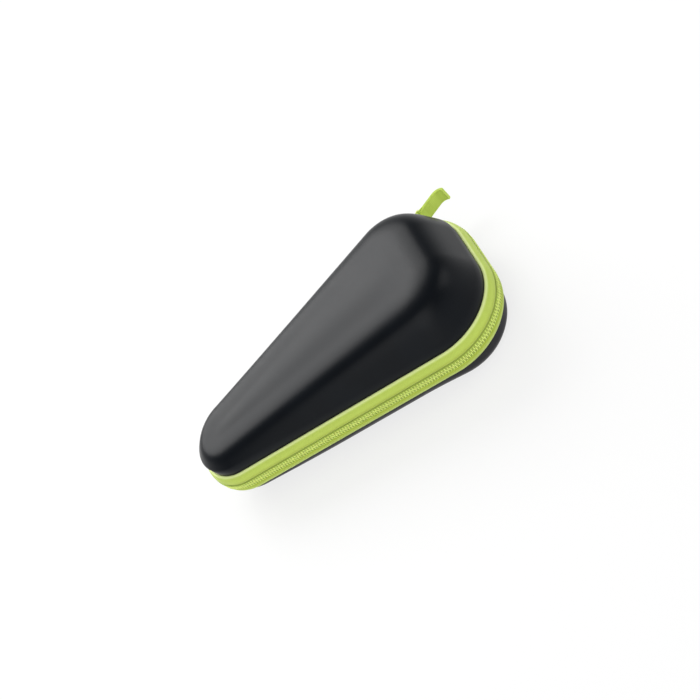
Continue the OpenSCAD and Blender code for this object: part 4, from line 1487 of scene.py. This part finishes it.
class ZIPCASE_OT_stage(bpy.types.Operator):
    """Pale floor, soft lamps and the camera"""

    bl_idname = "zipcase.stage"
    bl_label = "Stage"

    def execute(self, context):
        scene = context.scene
        scene.view_settings.view_transform = "Standard"
        self.camera(scene)
        self.floor()
        self.world(scene)
        self.lamp("sheen_lamp", (-0.50, 0.80, 0.66), (0.03, 0.0, 0.04), 0.8, 7.6)
        self.lamp("far_lamp", (-0.06, 0.84, 0.86), (0.03, 0.0, 0.04), 0.7, 5.4)
        self.lamp("front_lamp", (-0.3, -1.3, 0.85), (0, 0, 0.02), 1.4, 8.5)
        self.lamp("end_lamp", (1.35, -0.1, 0.8), (0, 0, 0.02), 0.9, 4.0)
        return {"FINISHED"}

    def camera(self, scene):
        azimuth, elevation, roll = (math.radians(a) for a in (20.907, 41.61, -52.996))
        back = Vector((math.sin(azimuth) * math.cos(elevation), -math.cos(azimuth) * math.cos(elevation),
                       math.sin(elevation)))
        right = Vector((math.cos(azimuth), math.sin(azimuth), 0))
        up = back.cross(right)
        side = right * math.cos(roll) + up * math.sin(roll)
        top = up * math.cos(roll) - right * math.sin(roll)
        data = bpy.data.cameras.new("photo_camera")
        data.lens, data.sensor_width = 45.76, 36.0
        data.shift_x, data.shift_y = 0.00315, 0.01647
        data.clip_start, data.clip_end = 0.01, 50.0
        camera = bpy.data.objects.new("photo_camera", data)
        scene.collection.objects.link(camera)
        place = Matrix((side, top, back)).transposed().to_4x4()
        place.translation = Vector((0.005, 0, 0.02125)) + back * 0.470
        camera.matrix_world = place
        scene.camera = camera

    def seen(self, tree):
        """One where a ray comes from the camera, a gloss or a clear material."""
        path = tree.nodes.new("ShaderNodeLightPath")
        total = path.outputs["Is Camera Ray"]
        for name in ("Is Glossy Ray", "Is Transmission Ray"):
            node = tree.nodes.new("ShaderNodeMath")
            node.operation = "MAXIMUM"
            tree.links.new(total, node.inputs[0])
            tree.links.new(path.outputs[name], node.inputs[1])
            total = node.outputs[0]
        return total

    def floor(self):
        half = 4.0
        mesh = bpy.data.meshes.new("floor")
        mesh.from_pydata([(-half, -half, -0.0002), (half, -half, -0.0002), (half, half, -0.0002),
                          (-half, half, -0.0002)], [], [(0, 1, 2, 3)])
        floor = bpy.data.objects.new("floor", mesh)
        bpy.context.scene.collection.objects.link(floor)
        finish = bpy.data.materials.new("white_floor")
        finish.use_nodes = True
        tree = finish.node_tree
        shader = tree.nodes["Principled BSDF"]
        shader.inputs["Base Color"].default_value = (0.86, 0.86, 0.86, 1)
        shader.inputs["Roughness"].default_value = 0.9
        shader.inputs["Specular IOR Level"].default_value = 0.1
        glow = tree.nodes.new("ShaderNodeEmission")
        glow.inputs["Color"].default_value = (1, 1, 1, 1)
        glow.inputs["Strength"].default_value = 1.0
        mix = tree.nodes.new("ShaderNodeMixShader")
        share = tree.nodes.new("ShaderNodeMath")
        share.operation = "MULTIPLY"
        share.inputs[1].default_value = 0.75
        tree.links.new(self.seen(tree), share.inputs[0])
        tree.links.new(share.outputs[0], mix.inputs[0])
        tree.links.new(shader.outputs[0], mix.inputs[1])
        tree.links.new(glow.outputs[0], mix.inputs[2])
        tree.links.new(mix.outputs[0], tree.nodes["Material Output"].inputs["Surface"])
        mesh.materials.append(finish)

    def world(self, scene):
        world = bpy.data.worlds.new("studio")
        world.use_nodes = True
        tree = world.node_tree
        shader = tree.nodes["Background"]
        shader.inputs["Color"].default_value = (1, 1, 1, 1)
        split = tree.nodes.new("ShaderNodeSeparateXYZ")
        tree.links.new(tree.nodes.new("ShaderNodeTexCoord").outputs["Generated"], split.inputs[0])
        height = tree.nodes.new("ShaderNodeMapRange")
        tree.links.new(split.outputs["Z"], height.inputs[0])
        height.inputs["From Min"].default_value = 0.12
        height.inputs["From Max"].default_value = 0.5
        height.inputs["To Min"].default_value = 0.85
        height.inputs["To Max"].default_value = 0.22
        share = tree.nodes.new("ShaderNodeMapRange")
        tree.links.new(self.seen(tree), share.inputs[0])
        share.inputs["To Min"].default_value = 0.5
        tree.links.new(height.outputs[0], share.inputs["To Max"])
        tree.links.new(share.outputs[0], shader.inputs["Strength"])
        scene.world = world

    def lamp(self, name, place, target, size, power):
        data = bpy.data.lights.new(name, "AREA")
        data.shape = "DISK"
        data.size = size
        data.energy = power
        lamp = bpy.data.objects.new(name, data)
        bpy.context.scene.collection.objects.link(lamp)
        aim = Vector(place) - Vector(target)
        lamp.location = place
        lamp.rotation_euler = aim.to_track_quat("Z", "Y").to_euler()


OPERATORS = (
    ZIPCASE_OT_covers, ZIPCASE_OT_foam, ZIPCASE_OT_linings, ZIPCASE_OT_tapes, ZIPCASE_OT_hinge,
    ZIPCASE_OT_coils, ZIPCASE_OT_bindings, ZIPCASE_OT_strap, ZIPCASE_OT_pocket, ZIPCASE_OT_slider,
    ZIPCASE_OT_pull, ZIPCASE_OT_stage,
)


class ZIPCASE_PT_panel(bpy.types.Panel):
    """Buttons for the pieces of the zip case"""

    bl_idname = "ZIPCASE_PT_panel"
    bl_label = "Zip Case"
    bl_space_type = "VIEW_3D"
    bl_region_type = "UI"
    bl_category = "Zip Case"

    def draw(self, context):
        layout = self.layout
        for group in (context.scene.zip_case_sizes, context.scene.zip_case_colours):
            box = layout.box()
            for name in group.__annotations__:
                box.prop(group, name)
        for operator in OPERATORS:
            layout.operator(operator.bl_idname)


CLASSES = (CaseSizes, CaseColours) + OPERATORS + (ZIPCASE_PT_panel,)


def register():
    for cls in CLASSES:
        bpy.utils.register_class(cls)
    bpy.types.Scene.zip_case_sizes = PointerProperty(type=CaseSizes)
    bpy.types.Scene.zip_case_colours = PointerProperty(type=CaseColours)


def unregister():
    del bpy.types.Scene.zip_case_colours
    del bpy.types.Scene.zip_case_sizes
    for cls in reversed(CLASSES):
        bpy.utils.unregister_class(cls)


def main():
    register()
    for operator in OPERATORS:
        group, name = operator.bl_idname.split(".")
        getattr(getattr(bpy.ops, group), name)()


if __name__ == "__main__":
    main()
